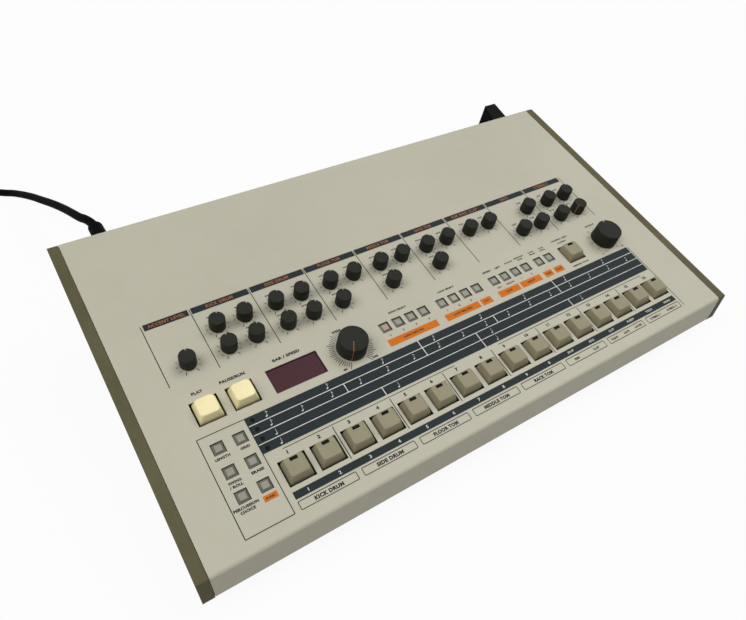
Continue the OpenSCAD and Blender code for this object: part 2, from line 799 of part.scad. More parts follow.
// An iron core, the ends of the winding in front of and behind it, and a
// bracket with a screw hole at each end
module transformer() {
    color([0.30, 0.27, 0.24])
        translate([transformer_x, transformer_y, floor_z])
            difference() {
                union() {
                    centred_block([core_l, core_w, core_h], 0);
                    centred_block([core_l * 0.62, core_w + 2 * winding_out, core_h * 0.7],
                                  core_h * 0.15);
                    centred_block([2 * bracket_screw_x + bracket_w, bracket_w, bracket_t], 0);
                }
                for (x = [-1, 1] * bracket_screw_x)
                    translate([x, 0, -1]) cylinder(h = bracket_t + 2, d = screw_hole_d);
            }
}

// ---------------------------------------------------------------- rear

// Frame of the rear wall: its outer face at the origin, Z out to the rear
module on_rear(x, z) {
    translate([x, wall_y, z])
        rotate([-90, 0, 0])
            children();
}

module jack() {
    difference() {
        union() {
            centred_block([16, 18, jack_l], -sheet_t - jack_l);
            translate([0, 0, -sheet_t - 1]) cylinder(h = sheet_t + 1 + 4, d = jack_barrel);
            cylinder(h = 2, d = jack_barrel + 4.5, $fn = 6);
        }
        translate([0, 0, 2 - sheet_t - jack_l]) cylinder(h = jack_l + 10, d = jack_bore);
    }
}

module din_socket() {
    difference() {
        union() {
            centred_block([din_d + 4, din_d + 4, 12], -sheet_t - 12);
            translate([0, 0, -sheet_t - 1]) cylinder(h = sheet_t + 2, d = din_d);
        }
        difference() {
            translate([0, 0, -4]) cylinder(h = 8, d = din_d - 1.6);
            translate([0, 0, -5]) cylinder(h = 10, d = din_d - 4);
        }
        for (a = [0:45:180])
            translate([5 * cos(a), -5 * sin(a), -5]) cylinder(h = 8, d = 1.6, $fn = 16);
    }
}

module rocker_housing() {
    opening = [rocker_w + 0.8, rocker_l + 2];
    difference() {
        union() {
            centred_block([rocker_case[0] - 0.6, rocker_case[1] - 0.6, 16], -15);
            centred_block([rocker_case[0] + 4, rocker_case[1] + 4, 1.4], 0);
        }
        centred_block([opening[0], opening[1], 30], -12);
        translate([0, 0, -pivot_depth]) pivot(rocker_case[0] + 1, pivot_d + 0.3);
    }
}

// The rocker's pivot, along X
module pivot(length, d) {
    rotate([0, 90, 0]) cylinder(h = length, d = d, center = true);
}

module cartridge_guide() {
    inner = [tongue_t, tongue_h] + 2 * tongue_play * [1, 1];
    outer = inner + 2 * guide_wall * [1, 1];
    difference() {
        centred_block([outer[0], outer[1], tongue_l + 2.4], -sheet_t - tongue_l - 2.4);
        centred_block([inner[0], inner[1], tongue_l + 2], -sheet_t - tongue_l - 0.4);
    }
}

module rear_sockets() {
    color([0.16, 0.16, 0.17]) {
        for (i = [0:JACKS - 1]) on_rear(jack_at(i), socket_z) jack();
        for (i = [0:DINS - 1]) on_rear(din_at(i), socket_z) din_socket();
        on_rear(rocker_x, socket_z) rocker_housing();
        on_rear(cartridge_x, tongue_z) cartridge_guide();
    }
}

module power_rocker() {
    color([0.1, 0.1, 0.1])
        on_rear(rocker_x, socket_z)
            translate([0, 0, -pivot_depth])
                rotate([rocker_tilt, 0, 0]) {
                    centred_block([rocker_w, rocker_l, 8], pivot_depth - 4);
                    pivot(rocker_w + 2, pivot_d);
                }
}

// Section of the cartridge's grip in the XZ plane, with its top at a height
module grip_section(top) {
    bottom = cartridge_top - cartridge_h;
    shoulder = cartridge_top - shoulder_h;
    share = (top - shoulder) / shoulder_h;
    top_t = cartridge_t + (cartridge_top_t - cartridge_t) * share;
    polygon([[-top_t / 2, top], [-cartridge_t / 2, shoulder], [-cartridge_t / 2, bottom],
             [cartridge_t / 2, bottom], [cartridge_t / 2, shoulder], [top_t / 2, top]]);
}

// Cartridge on edge: a grip outside the case, higher at its far end, and a
// tongue in the guide
module memory_cartridge() {
    color([0.10, 0.10, 0.10]) {
        difference() {
            hull() {
                translate([cartridge_x, rear_y + cartridge_out, 0])
                    rotate([90, 0, 0])
                        linear_extrude(eps) grip_section(cartridge_top);
                translate([cartridge_x, rear_y + grip_gap + eps, 0])
                    rotate([90, 0, 0])
                        linear_extrude(eps) grip_section(cartridge_top - grip_drop);
            }
            for (side = [-1, 1], i = [0:3])
                translate([cartridge_x + side * cartridge_t / 2 - 0.6,
                           rear_y + cartridge_out - 6 - i * 4,
                           cartridge_top - cartridge_h + 4])
                    cube([1.2, 1.6, cartridge_h - shoulder_h - 8]);
        }
        translate([cartridge_x - tongue_t / 2, wall_inner_y - tongue_l,
                   tongue_z - tongue_h / 2])
            cube([tongue_t, tongue_l + 2 * sheet_t + 1, tongue_h]);
    }
}

// ---------------------------------------------------------------- controls

module knob(x, v, foot_d, top_d, height, pointer) {
    color([0.20, 0.20, 0.19])
        on_panel(x, v)
            rotate([0, 0, -pointer])
                difference() {
                    union() {
                        translate([0, 0, knob_gap]) cylinder(h = height, d1 = foot_d, d2 = top_d);
                        translate([0, 0, shaft_end])
                            cylinder(h = knob_gap - shaft_end + 1, d = shaft_d);
                    }
                    translate([-0.4, top_d / 2 - 1.6, knob_gap + height - 0.4])
                        cube([0.8, 3, 1]);
                }
}

// The stem under a keycap, with room below it for its travel
module stem(width, travel) {
    end = switch_floor + travel + 1;
    centred_block([width, width, -end - key_skirt + 1], end);
}

// A keycap: a straight skirt in the window, a narrowing top with a recess for
// its light, and a stem. lean is how far the front and the rear lean inwards.
module keycap(x, v, height, shade, lean, light = true) {
    top = [cap_w - 2 * key_side_lean, cap_l - lean[0] - lean[1]];
    top_v = (lean[0] - lean[1]) / 2;
    inner = top - 2 * key_wall * [1, 1];
    light_depth = 0.6;
    color(shade)
        on_panel(x, v) {
            difference() {
                union() {
                    centred_block([cap_w, cap_l, key_skirt], -key_skirt);
                    hull() {
                        centred_block([cap_w, cap_l, eps], 0);
                        translate([0, top_v, 0])
                            centred_block([top[0], top[1], eps], height - eps);
                    }
                }
                difference() {
                    translate([0, top_v, 0])
                        centred_block([inner[0], inner[1], key_skirt + height - 2 * key_wall],
                                      -key_skirt - eps);
                    centred_block([stem_w, stem_w, 30], -20);
                }
                if (light)
                    translate([0, top_v + (top[1] - key_light_l) / 2 - key_light_inset, 0])
                        centred_block([key_light_w, key_light_l, 2 * light_depth],
                                      height - light_depth);
            }
            stem(stem_w, key_travel);
        }
}

module small_button(x, v) {
    on_panel(x, v) {
        centred_block([button_w, button_w, key_skirt + button_h - button_bevel], -key_skirt);
        hull() {
            centred_block([button_w, button_w, eps], button_h - button_bevel - eps);
            centred_block([button_w - 2 * button_taper, button_w - 2 * button_taper, eps],
                          button_h - eps);
        }
        stem(stem_w - 1, button_travel);
    }
}

module start_key() {
    keycap(start_x, middle_row, start_key_h, [0.95, 0.90, 0.70], START_LEAN, light = false);
}

module stop_key() {
    keycap(stop_x, middle_row, start_key_h, [0.95, 0.90, 0.70], START_LEAN, light = false);
}

module enter_key() {
    keycap(enter_x, middle_row, key_h, [0.62, 0.58, 0.45], KEY_LEAN);
}

module step_pair(i) {
    for (k = [2 * i, 2 * i + 1])
        keycap(step_key_x(k), key_row, key_h, [0.62, 0.58, 0.45], KEY_LEAN);
}

module mode_buttons() {
    color([0.72, 0.71, 0.66])
        for (p = MODE_PLACES) small_button(p[0], p[1]);
}

module pattern_buttons() {
    color([0.72, 0.71, 0.66])
        for (p = ROW_BUTTON_PLACES) small_button(p[0], p[1]);
}

// ---------------------------------------------------------------- mains lead

// A round tube with flat ends along a list of points
module tube(points, d, sides = 8) {
    n = len(points);
    rings = [
        for (i = [0:n - 1])
            let (t = unit(points[min(i + 1, n - 1)] - points[max(i - 1, 0)]),
                 side = unit(cross(t, [0, 0, 1])),
                 up = cross(side, t))
            for (k = [0:sides - 1])
                points[i] + d / 2 * (cos(k * 360 / sides) * side
                                     + sin(k * 360 / sides) * up)
    ];
    walls = [
        for (i = [0:n - 2], k = [0:sides - 1])
            let (a = i * sides + k, b = i * sides + (k + 1) % sides)
            each [[a, b, b + sides], [a, b + sides, a + sides]]
    ];
    first = [for (k = [sides - 1:-1:0]) k];
    last = [for (k = [0:sides - 1]) (n - 1) * sides + k];
    polyhedron(points = rings, faces = concat(walls, [first, last]));
}

// A flange on each side of the rear wall, a neck through it and a long sleeve
// with a bevelled end
module strain_relief() {
    flange_d = relief_d + 2.5;
    bevel = 2;
    color([0.10, 0.10, 0.10])
        on_rear(lead_x, lead_z) {
            translate([0, 0, -sheet_t - 3]) cylinder(h = 3, d = flange_d);
            translate([0, 0, -sheet_t - 1]) cylinder(h = sheet_t + 2, d = relief_d - 2.6);
            cylinder(h = sheet_t + 3.5, d = flange_d);
            cylinder(h = sheet_t + relief_l - bevel, d1 = relief_d, d2 = relief_d - 0.5);
            translate([0, 0, sheet_t + relief_l - bevel - eps])
                cylinder(h = bevel + eps, d1 = relief_d - 0.5, d2 = relief_d - 0.5 - bevel);
        }
}

module mains_cord() {
    color([0.10, 0.10, 0.10]) {
        tube(LEAD_OUT, lead_d);
        tube(LEAD_END, lead_d);
    }
}

module cord_coil() {
    color([0.12, 0.12, 0.12])
        translate([COIL_CENTRE[0], COIL_CENTRE[1], 0])
            rotate_extrude()
                translate([COIL_R - lead_d, 0])
                    square([2 * lead_d, COIL_LAYERS * lead_d]);
}

module mains_plug() {
    boot_l = 12;
    pin = [1.5, 17, 6.4];
    pin_pitch = 12.7;
    color([0.10, 0.10, 0.10])
        translate([PLUG_BACK[0], PLUG_BACK[1], plug_h / 2]) {
            rotate([90, 0, 0]) cylinder(h = boot_l + 2, d1 = lead_d + 1, d2 = lead_d + 6);
            translate([-plug_w / 2, -boot_l - plug_l, -plug_h / 2])
                cube([plug_w, plug_l, plug_h]);
            for (side = [-1, 1])
                translate([(side * pin_pitch - pin[0]) / 2, -boot_l - plug_l - pin[1],
                           -pin[2] / 2])
                    cube(pin + [0, eps, 0]);
        }
}

top_panel();
chassis();
left_cheek();
right_cheek();
rubber_feet();
case_screws();
display_window();
circuit_boards();
key_switches();
pot_bodies();
transformer();
rear_sockets();
strain_relief();
mains_cord();
cord_coil();
mains_plug();
power_rocker();
memory_cartridge();
knob(tempo_x, middle_row, big_knob_d, big_knob_top_d, big_knob_h, TEMPO_POINTER);  // knob_tempo
knob(volume_x, middle_row, big_knob_d, big_knob_top_d, big_knob_h, VOLUME_POINTER);  // knob_volume
start_key();
stop_key();
enter_key();
mode_buttons();
pattern_buttons();
for (k = KNOBS)
    knob(knob_x(k), knob_v(k), knob_d, knob_top_d, knob_h, k[4]);
for (i = [0:7])
    step_pair(i);
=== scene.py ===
"""Drum machine: a cream enamelled panel between olive cheeks, with its printing,
keycaps, knobs, sockets and mains lead. The world is in metres. Numbers are in
millimetres until they are multiplied by MM."""

import functools
import math

import bpy
import numpy as np
from mathutils import Matrix, Vector
from mathutils.geometry import tessellate_polygon


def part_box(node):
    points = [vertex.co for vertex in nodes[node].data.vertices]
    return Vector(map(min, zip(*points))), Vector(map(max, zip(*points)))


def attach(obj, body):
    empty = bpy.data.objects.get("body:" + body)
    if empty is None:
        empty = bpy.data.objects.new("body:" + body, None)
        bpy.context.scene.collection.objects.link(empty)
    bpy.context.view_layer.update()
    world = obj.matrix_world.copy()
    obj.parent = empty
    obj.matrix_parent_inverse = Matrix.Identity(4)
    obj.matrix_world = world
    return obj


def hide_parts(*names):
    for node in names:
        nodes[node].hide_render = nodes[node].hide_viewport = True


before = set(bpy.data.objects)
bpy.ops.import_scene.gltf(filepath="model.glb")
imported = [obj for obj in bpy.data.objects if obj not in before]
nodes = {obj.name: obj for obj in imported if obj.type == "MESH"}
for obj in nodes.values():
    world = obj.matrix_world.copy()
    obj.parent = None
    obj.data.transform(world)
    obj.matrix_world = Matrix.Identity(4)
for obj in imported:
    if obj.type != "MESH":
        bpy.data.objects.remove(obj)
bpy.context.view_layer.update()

MM = 0.001
CASE = "case"


# ------------------------------------------------ camera

IMAGE_W, IMAGE_H = 746, 620
FOCAL_PX = 596.96
PRINCIPAL_PX = (367.43, 349.0)
SENSOR_MM = 36.0
EYE_MM = (-244.9, -309.8, 378.7)
VIEW_RIGHT = (0.8421, -0.5384, 0.0323)
VIEW_DOWN = (-0.3695, -0.6194, -0.6927)


def make_camera():
    """A camera at the eye point. Its up is against VIEW_DOWN and it looks along right x up."""
    data = bpy.data.cameras.new("camera")
    data.sensor_width = SENSOR_MM
    data.lens = FOCAL_PX / IMAGE_W * SENSOR_MM
    data.shift_x = (IMAGE_W / 2 - PRINCIPAL_PX[0]) / IMAGE_W
    data.shift_y = (PRINCIPAL_PX[1] - IMAGE_H / 2) / IMAGE_W
    data.clip_start, data.clip_end = 0.01, 50.0
    right = Vector(VIEW_RIGHT).normalized()
    up = -Vector(VIEW_DOWN)
    up = (up - up.dot(right) * right).normalized()
    camera = bpy.data.objects.new("camera", data)
    turn = Matrix((right, up, right.cross(up))).transposed().to_4x4()
    camera.matrix_world = Matrix.Translation(Vector(EYE_MM) * MM) @ turn
    bpy.context.scene.collection.objects.link(camera)
    bpy.context.scene.camera = camera


make_camera()


# ------------------------------------------------ meshes

def unit(v):
    """Rows divided by their lengths."""
    v = np.asarray(v, float)
    return v / np.linalg.norm(v, axis=-1, keepdims=True)


def new_object(name, verts, faces, materials, face_material=None, smooth=None):
    """A mesh object. smooth is an angle in degrees under which edges are shaded smooth."""
    mesh = bpy.data.meshes.new(name)
    mesh.from_pydata(np.asarray(verts, float).tolist(), [], [list(map(int, f)) for f in faces])
    for material in materials if isinstance(materials, (list, tuple)) else [materials]:
        mesh.materials.append(material)
    if face_material is not None:
        mesh.polygons.foreach_set("material_index", np.asarray(face_material, np.int32))
    if smooth is not None:
        mesh.polygons.foreach_set("use_smooth", np.ones(len(mesh.polygons), bool))
        mesh.set_sharp_from_angle(angle=math.radians(smooth))
    mesh.validate()
    mesh.update()
    piece = bpy.data.objects.new(name, mesh)
    bpy.context.scene.collection.objects.link(piece)
    return piece


class Solid:
    """Vertices and faces that are gathered from several shapes, each face with a material number."""

    def __init__(self):
        self.verts, self.faces, self.marks, self.count = [], [], [], 0

    def add(self, verts, faces, mark=0):
        verts = np.asarray(verts, float)
        self.verts.append(verts)
        self.faces += [[int(i) + self.count for i in f] for f in faces]
        self.marks += [mark] * len(faces)
        self.count += len(verts)

    def made(self, name, materials, smooth=None):
        return new_object(name, np.vstack(self.verts), self.faces, materials, self.marks, smooth)


def skin(rings, closed_ends=(True, True)):
    """Loops of equal length joined by quads, with fans of one polygon at the ends."""
    rings = np.asarray(rings, float)
    count, sides = rings.shape[:2]
    index = np.arange(count * sides).reshape(count, sides)
    a, b = index[:-1], index[1:]
    quads = np.stack([a, np.roll(a, -1, 1), np.roll(b, -1, 1), b], -1).reshape(-1, 4).tolist()
    if closed_ends[0]:
        quads.append(index[0][::-1].tolist())
    if closed_ends[1]:
        quads.append(index[-1].tolist())
    return rings.reshape(-1, 3), quads


def rounded_box_loop(width, length, radius, steps=4):
    """A rectangle's outline with quarter circles at its corners, as points in a plane."""
    turns = np.linspace(0, math.pi / 2, steps + 1)
    loops = []
    for k, (sx, sy) in enumerate(((1, 1), (-1, 1), (-1, -1), (1, -1))):
        angle = turns + k * math.pi / 2
        centre = np.array([sx * (width / 2 - radius), sy * (length / 2 - radius)])
        loops.append(centre + radius * np.stack([np.cos(angle), np.sin(angle)], -1))
    return np.vstack(loops)


def lifted(loop, height):
    """A plane loop at a height."""
    return np.column_stack([loop, np.full(len(loop), height)])


def facing_up(points, faces):
    """The faces of a plane mesh, each turned to face up."""
    for face in faces:
        a, b, c = points[face[:3]]
        if (b[0] - a[0]) * (c[1] - a[1]) - (b[1] - a[1]) * (c[0] - a[0]) < 0:
            face.reverse()
    return faces


def turned(profile, sides=48):
    """Profile points (radius, height) turned about Z, with flat ends."""
    angle = np.arange(sides) * 2 * math.pi / sides
    radius, height = np.asarray(profile, float).T
    rings = np.stack([radius[:, None] * np.cos(angle), radius[:, None] * np.sin(angle),
                      np.repeat(height[:, None], sides, 1)], -1)
    return skin(rings)


def fillet(radius_out, height, r, steps=4):
    """The rounded rim of a turned top: a quarter circle from its side to its top, as (radius, height)."""
    a = np.linspace(0, math.pi / 2, steps + 1)
    return np.stack([radius_out - r + r * np.cos(a), height - r + r * np.sin(a)], -1).tolist()


def block(low, high):
    """A box between two corners."""
    (x0, y0, z0), (x1, y1, z1) = low, high
    ring = [(x0, y0), (x1, y0), (x1, y1), (x0, y1)]
    return skin([[(x, y, z) for x, y in ring] for z in (z0, z1)])


# ------------------------------------------------ places

SLOPE = math.radians(13)
PANEL_W = 472 * MM
PANEL_L = 274.6 * MM
FRONT_Z = 43.2 * MM
FRONT_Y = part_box("top_panel")[0].y
REAR_Y = FRONT_Y + PANEL_L * math.cos(SLOPE)
SHEET_T = 1.2 * MM

PANEL_AXES = np.array([[1, 0, 0],
                       [0, math.cos(SLOPE), math.sin(SLOPE)],
                       [0, -math.sin(SLOPE), math.cos(SLOPE)]])
PANEL_ORIGIN = np.array([-PANEL_W / 2, FRONT_Y, FRONT_Z])


def on_panel(points, x=0.0, v=0.0, w=0.0):
    """Points of the panel's own frame, shifted by (x, v, w) millimetres, in the world's frame."""
    points = np.asarray(points, float) + np.array([x, v, w]) * MM
    return PANEL_ORIGIN + points @ PANEL_AXES


SECTION_X, KEY_PITCH = 62.3, 23.18
SECTION_PITCH = 2 * KEY_PITCH
SECTION_LINES = [SECTION_X + i * SECTION_PITCH for i in range(9)]
KNOB_COLS = (12.4, 33.5)
KNOB_ROWS = (156.3, 136.5)
ACCENT_X = 44.6
MIDDLE_ROW = 98.2
START_X, STOP_X, ENTER_X = 42.1, 67.4, 379.4
DISPLAY_X, TEMPO_X, VOLUME_X = 107.8, 152.52, 419.4
DISPLAY_W, DISPLAY_L = 40.1, 19.5
KEY_ROW, FIRST_KEY_X = 35.0, 74.6
BUTTON_ROW, BUTTON_PITCH = 102.7, 11.9
TRACK_X, PATTERN_X, EDIT_X, MEASURE_X = 185.2, 239.1, 293.2, 344.0
MODE_X, MODE_PITCH_X, MODE_ROW, MODE_PITCH = 37.0, 15.2, 34.9, 17.75
SCALE_X, SCALE_ROW, SCALE_PITCH = 64.5, 56.1, 7.37

# Small knobs: node, section, column, row, pointer clockwise from the rear, label
KNOBS = [
    ("knob_total_accent", -1, 0, 1, 10, ""),
    ("knob_bass_tune", 0, 0, 0, 20, "PITCH"), ("knob_bass_level", 0, 1, 0, 40, "GAIN"),
    ("knob_bass_attack", 0, 0, 1, 0, "CLICK"), ("knob_bass_decay", 0, 1, 1, 25, "FADE"),
    ("knob_snare_tune", 1, 0, 0, 30, "PITCH"), ("knob_snare_level", 1, 1, 0, 45, "GAIN"),
    ("knob_snare_tone", 1, 0, 1, 10, "COLOUR"), ("knob_snare_snappy", 1, 1, 1, 35, "RATTLE"),
    ("knob_low_tom_tune", 2, 0, 0, 25, "PITCH"), ("knob_low_tom_level", 2, 1, 0, 50, "GAIN"),
    ("knob_low_tom_decay", 2, 0, 1, 20, "FADE"),
    ("knob_mid_tom_tune", 3, 0, 0, 30, "PITCH"), ("knob_mid_tom_level", 3, 1, 0, 45, "GAIN"),
    ("knob_mid_tom_decay", 3, 0, 1, 15, "FADE"),
    ("knob_high_tom_tune", 4, 0, 0, 40, "PITCH"), ("knob_high_tom_level", 4, 1, 0, 50, "GAIN"),
    ("knob_high_tom_decay", 4, 0, 1, 25, "FADE"),
    ("knob_rim_level", 5, 0, 0, 35, "GAIN"), ("knob_clap_level", 5, 1, 0, 55, "GAIN"),
    ("knob_hat_level", 6, 1, 0, 40, "GAIN"),
    ("knob_closed_hat_decay", 6, 0, 1, 20, "TIGHT"), ("knob_open_hat_decay", 6, 1, 1, 60, "LOOSE"),
    ("knob_crash_level", 7, 0, 0, 45, "GAIN"), ("knob_ride_level", 7, 1, 0, 30, "GAIN"),
    ("knob_crash_tune", 7, 0, 1, 50, "PITCH"), ("knob_ride_tune", 7, 1, 1, -115, "PITCH"),
]


def knob_place(section, col, row):
    x = ACCENT_X if section < 0 else SECTION_LINES[section] + KNOB_COLS[col]
    return x, KNOB_ROWS[row]


# ------------------------------------------------ materials

class Value:
    """A socket that holds a number. Its operators add Math nodes."""

    def __init__(self, maker, socket):
        self.maker, self.socket = maker, socket

    def _math(self, operation, first, second=0.0):
        node = self.maker.add("ShaderNodeMath", {"operation": operation}, {0: first, 1: second})
        return Value(self.maker, node.outputs[0])

    def __add__(self, other):
        return self._math("ADD", self, other)

    def __mul__(self, other):
        return self._math("MULTIPLY", self, other)

    def __sub__(self, other):
        return self._math("SUBTRACT", self, other)

    def __rsub__(self, other):
        return self._math("SUBTRACT", other, self)

    def clipped(self):
        return self._math("MINIMUM", self._math("MAXIMUM", self, 0.0), 1.0)


class Finish:
    """A Principled material and the ways to add nodes to it."""

    def __init__(self, name, colour, roughness, metallic=0.0, **sockets):
        self.material = bpy.data.materials.new(name)
        self.material.use_nodes = True
        self.tree = self.material.node_tree
        self.shader = self.tree.nodes["Principled BSDF"]
        self.set("Base Color", (*colour, 1.0))
        self.set("Roughness", roughness)
        self.set("Metallic", metallic)
        for socket, value in sockets.items():
            self.set(socket.replace("_", " "), value)

    def add(self, kind, settings=None, inputs=None):
        """Any node: its settings first, then the values or links of its sockets."""
        node = self.tree.nodes.new(kind)
        for key, value in (settings or {}).items():
            setattr(node, key, value)
        for key, value in (inputs or {}).items():
            self.plug(node.inputs[key], value)
        return node

    def plug(self, socket, value):
        if isinstance(value, Value):
            value = value.socket
        if isinstance(value, bpy.types.NodeSocket):
            self.tree.links.new(value, socket)
        else:
            socket.default_value = value

    def set(self, socket, value):
        self.plug(self.shader.inputs[socket], value)

    def place(self):
        return self.add("ShaderNodeTexCoord").outputs["Object"]

    def noise(self, scale, detail=3.0, rough=0.5, at=None):
        """Noise from 0 to 1 at a scale in waves per metre."""
        node = self.add("ShaderNodeTexNoise", {}, {"Vector": at or self.place(), "Scale": scale,
                                                   "Detail": detail, "Roughness": rough})
        return Value(self, node.outputs["Fac"])

    def mix(self, factor, first, second):
        node = self.add("ShaderNodeMix", {"data_type": "RGBA"})
        self.plug(node.inputs["Factor"], factor)
        for socket, colour in ((node.inputs[6], first), (node.inputs[7], second)):
            self.plug(socket, (*colour, 1.0) if isinstance(colour, tuple) and len(colour) == 3 else colour)
        return node.outputs[2]

    def between(self, value, low, high):
        """0 below low, 1 above high, and a straight rise between them."""
        node = self.add("ShaderNodeMapRange", {}, {"Value": value, "From Min": low, "From Max": high})
        return Value(self, node.outputs["Result"])

    def bump(self, height, distance):
        node = self.add("ShaderNodeBump", {}, {"Height": height, "Distance": distance})
        self.set("Normal", node.outputs["Normal"])

    def axis(self, name):
        node = self.add("ShaderNodeSeparateXYZ", {}, {"Vector": self.place()})
        return Value(self, node.outputs[name])


def shade(colour, factor):
    """A colour made lighter or darker."""
    return tuple(min(1.0, c * factor) for c in colour)


def mottled(name, colour, roughness, depth=0.06, scale=60.0, grain=0.00004, grain_scale=2500.0, **more):
    """A plain finish with soft clouds in its colour, a little wear in its gloss and a fine grain."""
    finish = Finish(name, colour, roughness, **more)
    clouds = finish.noise(scale, 4.0, 0.6)
    finish.set("Base Color", finish.mix(finish.between(clouds, 0.3, 0.7),
                                        shade(colour, 1 - depth), shade(colour, 1 + depth)))
    speckle = finish.noise(grain_scale, 2.0, 0.6)
    finish.set("Roughness", (clouds * 0.16 + speckle * 0.08 + (roughness - 0.12)).clipped())
    finish.bump(speckle, grain)
    return finish.material


def enamel():
    """Cream enamel: a faint orange-peel texture, slow yellowing and a few darker rubbed patches. The cut
    edges of the holes, which lie a little below the panel's face, are painted dark as shade."""
    colour = (0.498, 0.474, 0.374)
    finish = Finish("cream_enamel", colour, 0.5, Specular_IOR_Level=0.3)
    clouds = finish.noise(9.0, 3.0, 0.55)
    fine = finish.noise(120.0, 4.0, 0.6)
    tone = finish.mix(finish.between(clouds, 0.3, 0.7), shade(colour, 0.965), shade(colour, 1.03))
    stain = finish.between(finish.noise(28.0, 5.0, 0.62), 0.58, 0.76) * 0.35
    tone = finish.mix(stain, tone, (0.46, 0.43, 0.325))
    tone = finish.mix(finish.between(fine, 0.35, 0.8) * 0.25, tone, (0.54, 0.52, 0.43))
    y, z = finish.axis("Y"), finish.axis("Z")
    # Painted shade: every face more than 0.1 mm below the panel's face, away from the bends, is painted near
    # black.
    depth = (y - FRONT_Y) * math.sin(SLOPE) - (z - FRONT_Z) * math.cos(SLOPE)
    painted_cut_shade = finish.between(depth, 0.0001, 0.0002) * finish.between(y, FRONT_Y + 0.003, FRONT_Y + 0.0031)
    painted_cut_shade = painted_cut_shade * (1.0 - finish.between(y, REAR_Y - 0.0031, REAR_Y - 0.003))
    finish.set("Base Color", finish.mix(painted_cut_shade, tone, (0.03, 0.03, 0.028)))
    finish.set("Roughness", (clouds * 0.12 + fine * 0.08 + 0.38).clipped())
    finish.bump(finish.noise(1400.0, 2.0, 0.5), 0.00003)
    return finish.material


def olive_plastic():
    """Moulded cheek plastic: fine grain along the case and streaks rubbed a little lighter."""
    colour = (0.110, 0.098, 0.050)
    finish = Finish("olive_cheek", colour, 0.6, Specular_IOR_Level=0.12)
    stretch = finish.add("ShaderNodeMapping", {}, {"Vector": finish.place(), "Scale": (1.0, 0.12, 1.0)})
    streaks = finish.noise(420.0, 4.0, 0.65, at=stretch.outputs[0])
    clouds = finish.noise(16.0, 4.0, 0.6)
    tone = finish.mix(finish.between(clouds, 0.3, 0.7), shade(colour, 0.85), shade(colour, 1.18))
    rubbed = finish.between(streaks, 0.45, 0.75) * 0.3
    finish.set("Base Color", finish.mix(rubbed, tone, (0.155, 0.140, 0.078)))
    finish.set("Roughness", (streaks * 0.2 + clouds * 0.12 + 0.42).clipped())
    finish.bump(finish.noise(1900.0, 3.0, 0.6), 0.00006)
    return finish.material


def ink(name, colour, roughness=0.6):
    """Screen-printing ink, a little thinner in places."""
    finish = Finish(name, colour, roughness, Specular_IOR_Level=0.2)
    thin = finish.noise(700.0, 3.0, 0.6)
    finish.set("Base Color", finish.mix(finish.between(thin, 0.3, 0.75), shade(colour, 0.88),
                                        shade(colour, 1.12)))
    return finish.material


def lens(name, colour, roughness=0.4):
    """Matt filter plastic with a deep colour and faint dust."""
    finish = Finish(name, colour, roughness, Specular_IOR_Level=0.12)
    dust = finish.noise(900.0, 4.0, 0.7)
    finish.set("Base Color", finish.mix(finish.between(dust, 0.55, 0.8) * 0.3, colour, shade(colour, 1.25)))
    finish.set("Roughness", (dust * 0.12 + roughness).clipped())
    return finish.material


def metal(name, colour, roughness, grain=300.0):
    """Plated or pressed metal with fine brushed streaks."""
    finish = Finish(name, colour, roughness, metallic=1.0)
    streaks = finish.noise(grain, 4.0, 0.7)
    finish.set("Roughness", (streaks * 0.2 + (roughness - 0.1)).clipped())
    finish.set("Base Color", finish.mix(streaks, shade(colour, 0.85), shade(colour, 1.12)))
    finish.bump(streaks, 0.00001)
    return finish.material


def laminate():
    """Green circuit board with darker tracks under its lacquer."""
    finish = Finish("board_laminate", (0.07, 0.17, 0.05), 0.35, Coat_Weight=0.2)
    cells = finish.add("ShaderNodeTexBrick", {"offset": 0.5}, {
        "Vector": finish.place(), "Scale": 160.0, "Mortar Size": 0.03, "Color1": (0.05, 0.15, 0.04, 1),
        "Color2": (0.07, 0.19, 0.05, 1), "Mortar": (0.14, 0.27, 0.09, 1)})
    finish.set("Base Color", cells.outputs["Color"])
    return finish.material


ENAMEL = enamel()
OLIVE = olive_plastic()
KNOB = mottled("knob_plastic", (0.021, 0.022, 0.0165), 0.66, 0.12, 180.0, 0.00003,
               Specular_IOR_Level=0.18)
CREAM = mottled("cream_keycap", (0.93, 0.83, 0.46), 0.42, 0.03, 120.0, 0.00002)
KHAKI = mottled("olive_keycap", (0.285, 0.256, 0.160), 0.5, 0.05, 140.0, 0.00003,
                Specular_IOR_Level=0.3)
GREY = mottled("grey_button", (0.145, 0.140, 0.110), 0.5, 0.05, 200.0, 0.00002)
GREY_WINDOW = mottled("button_window", (0.265, 0.262, 0.21), 0.45, 0.04, 200.0, 0.00001)
LIT_WINDOW = mottled("lit_button_window", (0.40, 0.29, 0.21), 0.45, 0.04, 200.0, 0.00001)
BLACK = mottled("black_plastic", (0.014, 0.014, 0.013), 0.5, 0.15, 150.0, 0.00004)
CHARCOAL = mottled("charcoal_plastic", (0.0045, 0.0045, 0.004), 0.6, 0.15, 120.0, 0.00005,
                   Specular_IOR_Level=0.07)
JACKET = mottled("lead_jacket", (0.0035, 0.0035, 0.0035), 0.65, 0.15, 90.0, 0.00003,
                 Specular_IOR_Level=0.04)
RUBBER = mottled("foot_rubber", (0.025, 0.025, 0.024), 0.8, 0.2, 200.0, 0.00006)
POWDER = mottled("chassis_powder_coat", (0.055, 0.055, 0.051), 0.6, 0.1, 80.0, 0.00008, 3000.0)
STEEL = metal("plated_steel", (0.42, 0.42, 0.43), 0.38)
NICKEL = metal("nickel", (0.62, 0.60, 0.56), 0.28)
ALLOY = metal("pressed_alloy", (0.60, 0.60, 0.60), 0.4)
IRON = mottled("varnished_iron", (0.075, 0.055, 0.040), 0.5, 0.2, 400.0, 0.00005)
LAMINATE = laminate()
FILTER = lens("red_filter", (0.066, 0.024, 0.031))
LAMP = lens("dark_lamp", (0.004, 0.0035, 0.003), 0.5)
